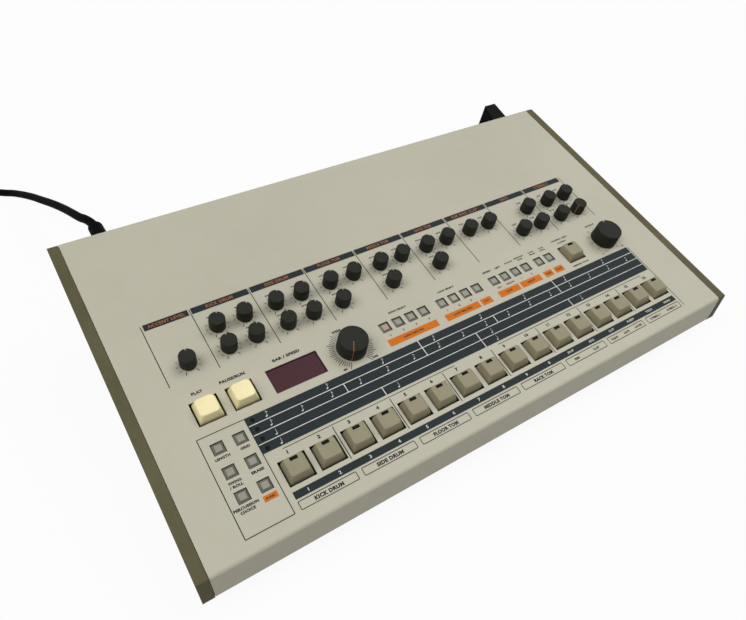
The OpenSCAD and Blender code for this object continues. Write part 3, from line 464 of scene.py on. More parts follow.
INK_DARK = ink("ink_charcoal", (0.022, 0.023, 0.022))
INK_SLATE = ink("ink_slate", (0.016, 0.0235, 0.027))
INK_ORANGE = ink("ink_orange", (0.62, 0.157, 0.003))
INK_BROWN = ink("ink_orange_on_slate", (0.36, 0.135, 0.055))
INK_PALE = ink("ink_cream", (0.66, 0.66, 0.60))
LINE_ORANGE = ink("pointer_orange", (0.42, 0.13, 0.05))
LINE_PALE = ink("pointer_white", (0.50, 0.50, 0.46))

NODE_FINISH = {
    "top_panel": ENAMEL, "chassis": POWDER, "left_cheek": OLIVE, "right_cheek": OLIVE,
    "rubber_feet": RUBBER, "case_screws": STEEL, "display_window": FILTER,
    "circuit_boards": LAMINATE, "key_switches": BLACK, "pot_bodies": ALLOY,
    "transformer": IRON, "rear_sockets": BLACK, "power_rocker": BLACK,
    "memory_cartridge": CHARCOAL, "strain_relief": JACKET, "mains_cord": JACKET,
    "cord_coil": JACKET, "mains_plug": BLACK,
}


def finish_nodes():
    """Every CAD node gets its finish, also where a piece replaces it."""
    for name, node in nodes.items():
        finish = NODE_FINISH.get(name, KNOB if name.startswith("knob") else KHAKI)
        node.data.materials.clear()
        node.data.materials.append(finish)


finish_nodes()


# ------------------------------------------------ mains lead

LEAD_D = 7.5
LEAD_OUT = [
    (-203.6, 164, 83.9), (-205.1, 171, 83.2), (-207.2, 179, 81.5), (-209.4, 188.6, 78),
    (-212.4, 207.8, 72), (-215.1, 228.1, 65), (-219.5, 254.4, 56), (-224.1, 279.6, 47),
    (-229.9, 307.4, 37), (-235.2, 332.6, 28), (-240.8, 354.7, 20), (-245.8, 373.3, 13),
    (-252, 388.4, 8), (-258.5, 399, 4.6), (-266, 406, 3.8), (-277, 411, 3.8),
    (-288, 418, 3.8), (-299, 426.5, 3.8), (-310, 434, 3.8), (-320, 438.6, 3.8),
    (-331, 440.25, 3.8),
]
LEAD_END = [
    (-373.25, 398, 26.3), (-373.25, 388, 26.2), (-373, 375, 23.5), (-373, 361, 19.3),
    (-373, 347, 14.3), (-373, 333, 10.6), (-373, 319, 8.9), (-373, 306, 8.5),
]
COIL_CENTRE, COIL_R, COIL_TURNS = (-331, 398), 38.5, 6.25
RELIEF_L, RELIEF_D = 41.5, 12.5
LEAD_X, LEAD_Z = -203.0, 84.0
PLUG_BACK = (-373, 306, 8.5)
BLADE_X, BLADE_T, BLADE_W, BLADE_ENDS = 6.35, 1.5, 6.4, (-61, -43.5)


def eased(t, middle, width=0.14):
    """0 before the middle and 1 after it, with a smooth step as wide as width."""
    s = np.clip((t - middle) / width + 0.5, 0, 1)
    return s * s * (3 - 2 * s)


def coil_path():
    """Turns on two circles, a diameter apart, and on layers a diameter apart. The lead steps in or out at the
    end of each odd turn, and steps up to the next layer in the last third of each even one."""
    t = np.linspace(0, COIL_TURNS, int(COIL_TURNS * 72) + 1)[1:-1]
    step_in = eased(t, 0.9) - eased(t, 2.9) + eased(t, 4.9) - eased(t, 6.12, 0.22)
    radius = COIL_R + LEAD_D / 2 - LEAD_D * step_in
    height = LEAD_D * (0.5 + eased(t, 1.75) + eased(t, 3.75) + eased(t, 5.75))
    angle = math.pi / 2 + 2 * math.pi * t
    return np.stack([COIL_CENTRE[0] + radius * np.cos(angle),
                     COIL_CENTRE[1] + radius * np.sin(angle), height], -1)


def smooth_path(points, step):
    """A Catmull-Rom curve through the points, sampled every step: each span is a cubic that leaves and
    arrives along the line between its neighbours."""
    p = np.asarray(points, float)
    p = np.vstack([2 * p[0] - p[1], p, 2 * p[-1] - p[-2]])
    out = []
    for a, b, c, d in zip(p[:-3], p[1:-2], p[2:-1], p[3:]):
        n = max(1, int(round(np.linalg.norm(c - b) / step)))
        t = (np.arange(n) / n)[:, None]
        out.append(0.5 * (2 * b + (c - a) * t + (2 * a - 5 * b + 4 * c - d) * t ** 2
                          + (3 * b - a - 3 * c + d) * t ** 3))
    return np.vstack(out + [p[-2:-1]])


def tube(path, radius, sides=14):
    """Circles square to the path, with the first side kept level, joined to a closed tube."""
    ahead = unit(np.gradient(path, axis=0))
    side = unit(np.cross(ahead, [0, 0, 1]))
    up = np.cross(side, ahead)
    angle = np.arange(sides) * 2 * math.pi / sides
    radius = np.broadcast_to(radius, len(path))[:, None, None]
    rings = path[:, None] + radius * (np.cos(angle)[:, None] * side[:, None]
                                      - np.sin(angle)[:, None] * up[:, None])
    return skin(rings)


def make_lead():
    start = (LEAD_X, REAR_Y / MM + RELIEF_L, LEAD_Z)
    route = np.vstack([smooth_path([start, *LEAD_OUT], 4.0)[:-1], [LEAD_OUT[-1]], coil_path(),
                       smooth_path(LEAD_END, 4.0)]) * MM
    verts, faces = tube(route, LEAD_D / 2 * MM)
    lead = new_object("mains_lead", verts, faces, JACKET, smooth=50)
    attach(lead, CASE)
    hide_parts("mains_cord", "cord_coil")
    length = float(np.linalg.norm(np.diff(route, axis=0), axis=1).sum())
    return lead, route, length


def make_strain_relief():
    """A smooth sleeve round the lead, with a flange on each side of the rear wall and a rounded end."""
    inner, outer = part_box("strain_relief")[0].y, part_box("strain_relief")[1].y
    length = (outer - inner) / MM
    flange, body, neck = RELIEF_D / 2 + 1.25, RELIEF_D / 2, RELIEF_D / 2 - 1.3
    profile = [(flange - 0.2, 0.0), (flange, 0.3), (flange, 3.0), (neck, 3.0), (neck, 4.2), (flange, 4.2)]
    profile += [*fillet(flange, 7.7, 0.8), (body + 0.25, 7.8), (body, 8.2)]
    profile += fillet(body - 0.25, length, 2.0, 6)
    profile.append((LEAD_D / 2 - 0.1, length))
    verts, faces = turned(np.array(profile) * MM, 32)
    verts = verts[:, [0, 2, 1]] * [1, 1, -1] + [LEAD_X * MM, inner, LEAD_Z * MM]
    boot = new_object("lead_boot", verts, faces, JACKET, smooth=35)
    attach(boot, CASE)
    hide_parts("strain_relief")
    return boot


def make_plug():
    """A moulded two-pin plug: a rounded body from the lead's collar to a flat face, and two blades."""
    x, y, z = PLUG_BACK
    stations = [(0, 8.0, 8.0, 3.9), (5, 9.5, 9.5, 4.4), (12, 13.0, 13.0, 5.0), (14, 21, 14.5, 5.0),
                (18, 25.4, 16.6, 4.0), (30, 26.0, 17.0, 3.0), (42, 25.4, 16.4, 2.5), (44, 23.8, 14.8, 1.9)]
    rings = [lifted(rounded_box_loop(w, h, r, 5), d) for d, w, h, r in stations]
    body = Solid()
    verts, faces = skin(rings)
    body.add(verts[:, [0, 2, 1]] * [1, -1, 1], faces)
    for middle in (-BLADE_X, BLADE_X):
        low = (middle - BLADE_T / 2, BLADE_ENDS[0], -BLADE_W / 2)
        high = (middle + BLADE_T / 2, BLADE_ENDS[1], BLADE_W / 2)
        body.add(*block(low, high), 1)
    body.verts = [(v + [x, y, z]) * MM for v in body.verts]
    plug = body.made("lead_plug", [BLACK, NICKEL], 40)
    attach(plug, CASE)
    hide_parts("mains_plug")
    return plug


lead, lead_route, lead_length = make_lead()
boot = make_strain_relief()
plug = make_plug()


# ------------------------------------------------ printing

INK_LIFT = 0.05


class Print:
    """Flat shapes of one ink on the panel. Places are taken from the panel's left end and front bend."""

    def __init__(self, name, material, weight=0.06):
        self.name, self.material, self.weight, self.solid = name, material, weight, Solid()

    def lay(self, points, faces):
        """A plane mesh, laid a little over the panel."""
        self.solid.add(on_panel(lifted(points, INK_LIFT) * MM), faces)

    def plate(self, points):
        """A flat polygon, facing out of the panel."""
        self.lay(points, [list(range(len(points)))])

    def bar(self, x0, x1, v0, v1):
        self.plate([(x0, v0), (x1, v0), (x1, v1), (x0, v1)])

    def line(self, a, b, width):
        """A straight stroke with square ends."""
        a, b = np.asarray(a, float), np.asarray(b, float)
        side = unit(b - a)[[1, 0]] * [-1, 1] * width / 2
        self.plate([a - side, b - side, b + side, a + side])

    def frame(self, x0, x1, v0, v1, width, radius=0.0):
        """An outline of even width, with round corners where radius is over 0."""
        across, along = x1 - x0, v1 - v0
        centre = np.array([(x0 + x1) / 2, (v0 + v1) / 2])
        r = max(radius, width)
        outer = centre + rounded_box_loop(across, along, r, 5)
        inner = centre + rounded_box_loop(across - 2 * width, along - 2 * width, max(r - width, 0.01), 5)
        n = len(outer)
        self.lay(np.vstack([outer, inner]), [(i, (i + 1) % n, n + (i + 1) % n, n + i) for i in range(n)])

    def ticks(self, x, v, inner, outer, angles, width):
        """Strokes round a centre, at angles in degrees clockwise from the rear."""
        centre = np.array([x, v])
        for angle in np.radians(angles):
            way = np.array([math.sin(angle), math.cos(angle)])
            self.line(centre + inner * way, centre + outer * way, width)

    def word(self, text, x, v, height, width=None):
        """A word centred on (x, v), with capitals of the height, drawn out to the width."""
        verts, faces = letters(text, self.weight)
        low, high = verts.min(0), verts.max(0)
        capital = letters("H", self.weight)[0][:, 1].max()
        scale_y = height / capital
        scale_x = scale_y * 1.15 if width is None else width / (high[0] - low[0])
        points = (verts - [(low[0] + high[0]) / 2, capital / 2]) * [scale_x, scale_y]
        self.lay(points + [x, v], faces)

    def note(self, x, v, height, flags):
        """A small music note: an oval head, a stem and up to two flags."""
        turn = np.linspace(0, 2 * math.pi, 13)[:-1]
        head = np.stack([0.85 * np.cos(turn) + 0.2 * np.sin(turn), 0.6 * np.sin(turn)], -1)
        self.plate(head * 0.85 + [x - 0.6, v - height / 2 + 0.6])
        top = v + height / 2
        self.line((x + 0.15, v - height / 2 + 0.7), (x + 0.15, top), 0.24)
        for k in range(flags):
            self.line((x + 0.15, top - 0.2 - 1.1 * k), (x + 1.2, top - 1.1 - 1.1 * k), 0.32)

    def made(self):
        piece = self.solid.made(self.name, self.material)
        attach(piece, CASE)
        return piece


@functools.cache
def letters(text, weight):
    """A word's filled outlines, as points in a plane and triangles, one unit high. Strokes are wider by
    twice the weight."""
    curve = bpy.data.curves.new("word", "FONT")
    curve.body = text
    curve.resolution_u = 2
    curve.offset = weight
    curve.space_character = 1.08
    holder = bpy.data.objects.new("word", curve)
    mesh = bpy.data.meshes.new_from_object(holder)
    points = np.empty(len(mesh.vertices) * 3)
    mesh.vertices.foreach_get("co", points)
    points = points.reshape(-1, 3)[:, :2]
    faces = facing_up(points, [list(p.vertices) for p in mesh.polygons])
    bpy.data.objects.remove(holder)
    bpy.data.meshes.remove(mesh)
    bpy.data.curves.remove(curve)
    return points, faces


dark = Print("print_charcoal", INK_DARK)
slate = Print("print_slate", INK_SLATE)
orange = Print("print_orange", INK_ORANGE)


class RaisedPrint(Print):
    """Ink that lies on another ink."""

    def made(self):
        lift = PANEL_AXES[2] * INK_LIFT * MM
        self.solid.verts = [v + lift for v in self.solid.verts]
        return super().made()


orange_words = RaisedPrint("print_orange_words", INK_BROWN, 0.02)
pale = RaisedPrint("print_cream", INK_PALE, 0.02)
bar_words = RaisedPrint("print_bar_words", INK_DARK, 0.05)

THIN_LINE = 0.62
LEFT_LINE, RIGHT_LINE, LINE_V = 26.7, 434.3, (124.1, 178.2)
ACCENT_BAR, HEAD_V = (28.3, 61.0), (173.4, 178.9)
HEAD_WORDS = [("KICK DRUM", 21), ("SIDE DRUM", 20), ("FLOOR TOM", 20), ("MIDDLE TOM", 21),
              ("RACK TOM", 17), ("RIM AND CLAP", 29), ("HATS", 9), ("CYMBALS", 17)]


def print_header():
    """Slate bars with the sections' names in orange, and the thin lines between sections."""
    middle = sum(HEAD_V) / 2
    slate.bar(*ACCENT_BAR, *HEAD_V)
    orange_words.word("ACCENT LEVEL", 44.8, middle, 2.5, 27)
    for i, (text, width) in enumerate(HEAD_WORDS):
        x0, x1 = SECTION_LINES[i] + 0.9, SECTION_LINES[i + 1] - 0.8
        slate.bar(x0, x1, *HEAD_V)
        orange_words.word(text, (x0 + x1) / 2 - 0.6, middle, 2.7, width)
    for x in (LEFT_LINE, *SECTION_LINES[:-1], RIGHT_LINE):
        dark.line((x, LINE_V[0]), (x, LINE_V[1]), THIN_LINE)


TICK_ANGLES = np.arange(-150, 151, 30)
FINE_TICK_ANGLES = np.arange(-144, 145, 6)


def print_knob_marks():
    """Tick marks round every knob, and the small knobs' names."""
    for _, section, col, row, _, text in KNOBS:
        x, v = knob_place(section, col, row)
        dark.ticks(x, v, 7.2, 8.6, TICK_ANGLES[1:-1], 0.45)
        dark.ticks(x, v, 7.1, 9.5, TICK_ANGLES[[0, -1]], 0.55)
        if text:
            dark.word(text, x - 1.2, v + 9.9, 1.25, 0.95 * len(text) + 1.2)
    dark.ticks(TEMPO_X, MIDDLE_ROW, 12.5, 16.6, FINE_TICK_ANGLES, 0.42)
    dark.ticks(TEMPO_X, MIDDLE_ROW, 12.5, 18.2, TICK_ANGLES, 0.5)
    dark.ticks(VOLUME_X, MIDDLE_ROW, 13.2, 15.4, TICK_ANGLES, 0.5)


# Words of the middle row: text, place, height of capitals, width
MIDDLE_WORDS = [
    ("PLAY", 40.9, 113.3, 2.2, 8.0), ("PAUSE/RUN", 66.0, 113.3, 2.2, 18.6),
    ("BAR / SPEED", 107.0, 113.2, 2.2, 21.4), ("SPEED", 149.7, 115.6, 1.7, 7.6),
    ("40", 139.2, 84.2, 1.7, 3.2), ("240", 164.6, 84.2, 1.7, 4.8), ("OUTPUT", 419.0, 116.4, 1.6, 11.6),
    ("0", 407.2, 84.8, 1.4, 1.3), ("10", 431.4, 84.6, 1.4, 2.4),
    ("CONFIRM / BEAT", 379.4, 115.6, 1.3, 20.0), ("ACCENT", 379.4, 112.0, 1.3, 11.0),
    ("MEMORY PACK", 379.2, 85.2, 1.3, 19.0), ("SONG SELECT", 202.7, 112.8, 1.5, 16.6),
    ("LOOP SELECT", 249.9, 112.8, 1.5, 16.6), ("SPEED", 293.0, 113.0, 1.5, 8.8),
    ("LEFT", 305.0, 113.0, 1.5, 6.4), ("ADVANCE", 317.4, 113.6, 1.2, 9.0),
    ("REMAINING", 329.6, 114.4, 1.2, 10.6), ("BARS", 329.6, 112.0, 1.2, 5.6),
    ("LOOP", 344.0, 114.4, 1.2, 6.2), ("FROM", 344.0, 112.0, 1.2, 6.2),
    ("LOOP", 355.9, 114.4, 1.2, 5.6), ("UNTIL", 355.9, 112.0, 1.2, 6.4),
]


def print_middle_words():
    for word in MIDDLE_WORDS:
        dark.word(*word)
    for start, count in ((TRACK_X, 4), (PATTERN_X, 3)):
        for i in range(count):
            dark.word(str(i + 1), start + i * BUTTON_PITCH, 95.0, 1.6)
    dark.word("ADD", 293.2, 95.2, 1.2, 4.4)
    dark.word("REMOVE", 305.1, 95.2, 1.2, 8.4)
    for i in range(2):
        dark.word(str(i + 1), EDIT_X + (i + 2) * BUTTON_PITCH, 95.0, 1.5)


# Orange bars under the small buttons: ends, word, width of the word
ORANGE_BARS = [
    (180.0, 225.4, "SONG RECORD", 18.5), (233.5, 267.3, "LOOP RECORD", 18.5), (269.3, 279.9, "OUT", 5.0),
    (288.2, 310.3, "LOOP", 6.6), (312.3, 334.6, "GROUP", 8.4), (338.9, 348.0, "FILE", 5.8),
    (350.8, 360.6, "CLOCK", 7.2),
]


def print_orange_bars():
    for x0, x1, text, width in ORANGE_BARS:
        orange.bar(x0, x1, 85.8, 91.9)
        bar_words.word(text, (x0 + x1) / 2, 89.0, 1.5, width)
    orange.bar(47.2, 56.6, 24.5, 28.7)
    bar_words.word("FUNC", 51.9, 26.6, 1.5, 6.4)


# The scale table's rows from the front: edges, cuts, and notes as count, flags and pitch
SCALE_ROWS = [(53.4, 59.95), (60.5, 67.25), (67.85, 74.6), (75.2, 81.6)]
SCALE_ENDS = (60.2, 433.2)
SCALE_CUTS = [[155.0, 246.6, 339.9], [246.6], [132.1, 200.7, 269.8, 339.9], [200.7, 339.9]]
NOTES = [(4, 0, 92.7), (2, 0, 185.4), (16, 1, 23.18), (8, 1, 46.36)]


def print_scale_table():
    """A slate field, cut into four rows by cream lines and again where a beat ends, with notes in cream.
    Thin lines go round the buttons at the left, at the right end and over the step keys."""
    slate.bar(*SCALE_ENDS, SCALE_ROWS[0][0], SCALE_ROWS[-1][1])
    for (v0, v1), cuts, (count, flags, pitch) in zip(SCALE_ROWS, SCALE_CUTS, NOTES):
        for x in cuts:
            pale.bar(x - 0.35, x + 0.35, v0, v1)
        for i in range(count):
            pale.note(FIRST_KEY_X + i * pitch, (v0 + v1) / 2, 4.4, flags)
    for (_, row_end), (next_row, _) in zip(SCALE_ROWS[:-1], SCALE_ROWS[1:]):
        pale.bar(*SCALE_ENDS, row_end, next_row)
    dark.frame(LEFT_LINE, SCALE_ENDS[0], 9.6, SCALE_ROWS[-1][1], THIN_LINE)
    dark.line((434.6, 10.0), (434.6, 81.0), THIN_LINE)
    for x0, x1 in ((72.6, 213.8), (256.7, 420.6)):
        dark.line((x0, 51.2), (x1, 51.2), 0.52)


BAR_WORDS = ["1", "2", "3", "4", "5", "6", "7", "8", "9", "0", "DUP", "ADD", "CUT", "KEEP", "TEST", "READ"]
BOX_WORDS = [["KICK DRUM"], ["SIDE DRUM"], ["FLOOR TOM"], ["MIDDLE TOM"], ["RACK TOM"],
             ["RIM", "CLAP"], ["TIGHT", "HATS", "LOOSE"], ["CYMBAL 1", "CYMBAL 2"]]


def print_keys():
    """Numbers over the step keys, the slate number bar and the boxes with the instruments' names."""
    for i, text in enumerate(BAR_WORDS):
        x = FIRST_KEY_X + i * KEY_PITCH
        dark.word(str(i + 1), x - 0.3, 48.0, 2.5)
        size = (2.3,) if len(text) < 2 else (1.7, 2.05 * len(text))
        pale.word(text, x - 0.2, 19.8, *size)
    slate.bar(64.4, 431.6, 17.2, 22.4)
    for i, words in enumerate(BOX_WORDS):
        x0 = SECTION_LINES[i] + 2.1
        dark.frame(x0, x0 + 42.4, 9.7, 15.8, 0.58, 1.0)
        size = 2.6 if len(words) == 1 else 1.8
        for k, text in enumerate(words):
            x = x0 + 42.4 * (k + 0.5) / len(words)
            dark.word(text, x, 12.7, size, size * 0.9 * len(text))
    for x in SECTION_LINES[1:-1]:
        dark.line((x + 0.2, 24.4), (x + 0.2, 50.0), THIN_LINE)


# Words under the six buttons at the left: text, column, shift, place, width
MODE_WORDS = [
    ("LENGTH", 0, -0.2, 63.4, 10.2), ("GRID", 1, 0.0, 63.4, 6.6), ("SWING", 0, -0.2, 45.5, 8.6),
    ("/ ROLL", 0, -0.4, 42.6, 8.8), ("ERASE", 1, 0.0, 45.4, 8.6), ("PERCUSSION", 0, -0.8, 28.2, 16.6),
    ("CHOICE", 0, -0.8, 25.4, 10.0),
]


def print_mode_words():
    for text, col, shift, v, width in MODE_WORDS:
        dark.word(text, MODE_X + col * MODE_PITCH_X + shift, v, 1.8, width)


print_header()
print_knob_marks()
print_middle_words()
print_orange_bars()
print_scale_table()
print_keys()
print_mode_words()
for layer in (dark, slate, orange, orange_words, pale, bar_words):
    layer.made()


# ------------------------------------------------ knobs

SMALL_KNOB = dict(foot=12.2, top=11.7, height=9.8, rim=0.5)
BIG_KNOB = dict(foot=23.2, top=22.3, height=12.4, rim=0.8)
KNOB_GAP = 0.7
SHAFT_D = 6.0
BOARD_DEPTH, BOARD_T = 16.0, 1.6
SHAFT_END = 0.4 - BOARD_DEPTH + BOARD_T


def knob_solid(foot, top, height, rim):
    """A slightly tapered drum with a rounded rim and a shallow dished top, on its shaft."""
    profile = [(SHAFT_D / 2, SHAFT_END), (SHAFT_D / 2, KNOB_GAP),
               (foot / 2 - 0.15, KNOB_GAP), (foot / 2, KNOB_GAP + 0.2)]
    upper = KNOB_GAP + height
    profile += fillet(top / 2, upper, rim)
    profile += [(top / 2 - rim - 0.5, upper), (top / 2 - rim - 0.9, upper - 0.12)]
    return turned(np.array(profile) * MM, 56)


def pointer_strip(foot, top, height, rim, width, inner, lift=0.04):
    """A stroke that runs from the inner radius out over the rim and down the side, facing the rear."""
    upper = KNOB_GAP + height
    rounding = np.array(fillet(top / 2, upper, rim))[::-1]
    line = [(inner, upper - 0.12), (top / 2 - rim - 0.9, upper - 0.12), (top / 2 - rim - 0.5, upper)]
    line += rounding.tolist() + [(foot / 2, KNOB_GAP + 0.3)]
    line = np.array([p for p in line if p[0] >= inner - 1e-6])
    ahead = unit(np.gradient(line, axis=0))
    line = line + lift * np.stack([-ahead[:, 1], ahead[:, 0]], -1) * np.sign(ahead[0, 0])
    half = width / 2
    left = np.stack([np.full(len(line), -half), line[:, 0], line[:, 1]], -1)
    right = left * [-1, 1, 1]
    n = len(line)
    faces = [(i, i + n, i + n + 1, i + 1) for i in range(n - 1)]
    return np.vstack([left, right]) * MM, faces


def turned_clockwise(points, degrees):
    """Points turned about Z, clockwise from above."""
    a = math.radians(degrees)
    turn = np.array([[math.cos(a), -math.sin(a), 0], [math.sin(a), math.cos(a), 0], [0, 0, 1]])
    return points @ turn


def make_knob(node, x, v, shape, pointer, line_material, width, inner):
    body = Solid()
    body.add(*knob_solid(**shape))
    body.add(*pointer_strip(**shape, width=width, inner=inner), 1)
    body.verts = [on_panel(turned_clockwise(p, pointer), x, v) for p in body.verts]
    piece = body.made(node.replace("knob_", "") + "_knob", [KNOB, line_material], 40)
    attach(piece, node)
    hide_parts(node)


for name, section, col, row, pointer, _ in KNOBS:
    x, v = knob_place(section, col, row)
    line = LINE_ORANGE if name == "knob_ride_tune" else LINE_PALE
    make_knob(name, x, v, SMALL_KNOB, pointer, line, 0.6, SMALL_KNOB["top"] / 2 - 1.3)
make_knob("knob_tempo", TEMPO_X, MIDDLE_ROW, BIG_KNOB, -150, LINE_ORANGE, 0.45, 2.6)
make_knob("knob_volume", VOLUME_X, MIDDLE_ROW, BIG_KNOB, 8, LINE_PALE, 0.8, BIG_KNOB["top"] / 2 - 2.2)


# ------------------------------------------------ keys

CAP_W, CAP_L = 16.7, 15.8
SIDE_LEAN = 1.5
KEY_LEAN, START_LEAN = (2.6, 0.3), (1.2, 1.2)
KEY_H, START_KEY_H = 5.5, 7.6
CAP_SKIRT = 3.6
CAP_WALL = 1.6
STEM_W = 4.0
KEY_TRAVEL, TACT_H = 3.0, 1.0
SWITCH_FLOOR = 0.6 - BOARD_DEPTH
KEY_STEM_END = SWITCH_FLOOR + KEY_TRAVEL + TACT_H
LIGHT_W, LIGHT_L, LIGHT_DEPTH, LIGHT_INSET = 5.5, 2.4, 0.6, 0.8


def capped(outer, hole, height):
    """A flat face with a hole, cut into triangles. The hole's points follow the outer ones."""
    loops = [[Vector((*p, 0)) for p in outer], [Vector((*p, 0)) for p in hole]]
    points = np.vstack([outer, hole])
    return lifted(points, height), facing_up(points, [list(t) for t in tessellate_polygon(loops)])


def keycap(height, lean, light):
    """A hollow keycap: a straight skirt, sides that lean in to a rounded top edge, a stem and, with a light,
    a dark recess in its top. lean is how far the front and the rear lean in. Each outline is a rounded
    rectangle, with corners that grow rounder and a middle that moves evenly towards the top."""
    edge, corner = (0.65, 2.0) if light else (1.0, 3.0)
    width, length = CAP_W - 2 * SIDE_LEAN, CAP_L - sum(lean)
    middle = np.array([0, (lean[0] - lean[1]) / 2])

    def outline(z):
        rise = np.clip(z / height, 0, 1)
        rounding = 1.6 * edge * (1 - math.sqrt(1 - np.clip((z - height + edge) / edge, 0, 1) ** 2))
        loop = rounded_box_loop(CAP_W - 2 * SIDE_LEAN * rise - rounding, CAP_L - sum(lean) * rise - rounding,
                                0.8 + (corner - 0.8) * rise)
        return lifted(loop + middle * rise, z)

    solid = Solid()
    rim = height - edge * np.array([1, 0.62, 0.35, 0.15, 0.04, 0])
    outer = [outline(z) for z in (-CAP_SKIRT, 0.0, *rim)]
    solid.add(*skin(outer, (False, not light)))
    if light:
        hole = rounded_box_loop(LIGHT_W, LIGHT_L, 0.3, 2) + middle
        hole += [0, (length - LIGHT_L) / 2 - LIGHT_INSET]
        solid.add(*capped(outer[-1][:, :2], hole, height))
        solid.add(*skin([lifted(hole, height), lifted(hole, height - LIGHT_DEPTH)], (False, True)), 1)
    hollow = rounded_box_loop(width - 2 * CAP_WALL, length - 2 * CAP_WALL, 1.0) + middle
    inside = [lifted(hollow, height - 2 * CAP_WALL), lifted(hollow, -CAP_SKIRT)]
    solid.add(*skin(inside, (False, False)))
    sides = len(hollow)
    solid.add(inside[0], [list(range(sides))[::-1]])
    solid.add(np.vstack([outer[0], inside[1]]),
              [((i + 1) % sides, i, sides + i, sides + (i + 1) % sides) for i in range(sides)])
    stem = rounded_box_loop(STEM_W, STEM_W, 0.3, 2)
    solid.add(*skin([lifted(stem, KEY_STEM_END), lifted(stem, height - 2 * CAP_WALL)]))
    return solid


def make_keys(name, node, material, shape, places):
    solid, cap = Solid(), keycap(*shape)
    for x, v in places:
        solid.verts.append(on_panel(np.vstack(cap.verts) * MM, x, v))
        solid.faces += [[i + solid.count for i in f] for f in cap.faces]
        solid.marks += cap.marks
        solid.count += cap.count
    piece = solid.made(name, [material, LAMP], 40)
    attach(piece, node)
    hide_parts(node)


STEP_SHAPE, START_SHAPE = (KEY_H, KEY_LEAN, True), (START_KEY_H, START_LEAN, False)
make_keys("start_keycap", "start_key", CREAM, START_SHAPE, [(START_X, MIDDLE_ROW)])
make_keys("stop_keycap", "stop_key", CREAM, START_SHAPE, [(STOP_X, MIDDLE_ROW)])
make_keys("enter_keycap", "enter_key", KHAKI, STEP_SHAPE, [(ENTER_X, MIDDLE_ROW)])
for i in range(8):
    pair = [(FIRST_KEY_X + k * KEY_PITCH, KEY_ROW) for k in (2 * i, 2 * i + 1)]
    node = f"step_keys_{2 * i + 1}_{2 * i + 2}"
    make_keys(node.replace("keys", "keycaps"), node, KHAKI, STEP_SHAPE, pair)


# ------------------------------------------------ small buttons

BUTTON_W, BUTTON_H, BUTTON_BEVEL, BUTTON_TAPER = 7.9, 0.3, 1.2, 1.5
BUTTON_TOP_W, BUTTON_LENS_W = BUTTON_W - 2 * BUTTON_TAPER, 4.6
BUTTON_TRAVEL = 0.8
BUTTON_STEM_END = SWITCH_FLOOR + BUTTON_TRAVEL + TACT_H


def make_buttons(name, node, places, lit=()):
    """Square buttons with leaning sides, a rounded edge and a paler window in the middle."""
    levels = [(-CAP_SKIRT, BUTTON_W, 0.4), (BUTTON_H - BUTTON_BEVEL, BUTTON_W, 0.4),
              (BUTTON_H - 0.15, BUTTON_TOP_W + 0.4, 0.5), (BUTTON_H - 0.04, BUTTON_TOP_W + 0.1, 0.5),
              (BUTTON_H, BUTTON_TOP_W - 0.1, 0.5)]
    rings = [lifted(rounded_box_loop(w, w, r, 3), z) for z, w, r in levels]
    hole = rounded_box_loop(BUTTON_LENS_W, BUTTON_LENS_W, 0.3, 2)
    stem = rounded_box_loop(STEM_W - 1, STEM_W - 1, 0.2, 2)
    solid = Solid()
    for number, (x, v) in enumerate(places):
        for (verts, faces), mark in (
                (skin(rings, (True, False)), 0),
                (capped(rings[-1][:, :2], hole, BUTTON_H), 0),
                ((lifted(hole, BUTTON_H), [list(range(len(hole)))]), 2 if number in lit else 1),
                (skin([lifted(stem, BUTTON_STEM_END), lifted(stem, -CAP_SKIRT)]), 0)):
            solid.add(on_panel(verts * MM, x, v), faces, mark)
    piece = solid.made(name, [GREY, GREY_WINDOW, LIT_WINDOW], 40)
    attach(piece, node)
    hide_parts(node)


mode_places = [(MODE_X + c * MODE_PITCH_X, MODE_ROW + r * MODE_PITCH) for c in range(2) for r in range(3)]
row_places = [(start + i * BUTTON_PITCH, BUTTON_ROW)
              for start, count in ((TRACK_X, 4), (PATTERN_X, 4), (EDIT_X, 4), (MEASURE_X, 2))
              for i in range(count)]
make_buttons("mode_button_caps", "mode_buttons", mode_places)
make_buttons("pattern_button_caps", "pattern_buttons", row_places, lit=(0, 5))


# ------------------------------------------------ lamps and sockets

def make_scale_lamps():
    """Four small domed lamps that fill the holes beside the scale table, with a thin rim on the panel."""
    solid = Solid()
    dome = [(1.45, -5.0), (1.45, 0.06), (1.6, 0.07), (1.6, 0.12), (1.2, 0.2), (0.5, 0.26)]
    verts, faces = turned(np.array(dome) * MM, 20)
    for i in range(len(SCALE_ROWS)):
        solid.add(on_panel(verts, SCALE_X, SCALE_ROW + i * SCALE_PITCH), faces)
    piece = solid.made("scale_lamps", [LAMP], 50)
    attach(piece, CASE)


make_scale_lamps()


def make_display_shade_frame():
    """A thin black frame that lines the display's window, down to its filter: painted shade on the window's
    walls.
    """
    outer, inner = (rounded_box_loop(DISPLAY_W - gap, DISPLAY_L - gap, 0.1, 2) for gap in (0.04, 0.8))
    # Painted shade: the black frame darkens the window's walls where shade falls.
    low, high = -1.18, -0.06
    section = ((outer, low), (outer, high), (inner, high), (inner, low), (outer, low))
    verts, faces = skin([lifted(loop, z) for loop, z in section], (False, False))
    piece = new_object("display_shade_frame", on_panel(verts * MM, DISPLAY_X, MIDDLE_ROW), faces, BLACK, smooth=40)
    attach(piece, CASE)


make_display_shade_frame()

JACK_X, JACK_PITCH, JACKS = -128.0, 22.0, 10
NUT_R, NUT_BORE_R, NUT_H, NUT_SEAT = 6.9, 4.55, 2.05, 0.02
SOCKET_Z = 48.0
WALL_Y = REAR_Y - SHEET_T


def on_rear(points, x, z):
    """Points with Z out of the rear wall, at (x, z) millimetres, in the world's frame."""
    points = np.asarray(points, float)
    return points[:, [0, 2, 1]] * [1, 1, -1] + [x * MM, WALL_Y, z * MM]


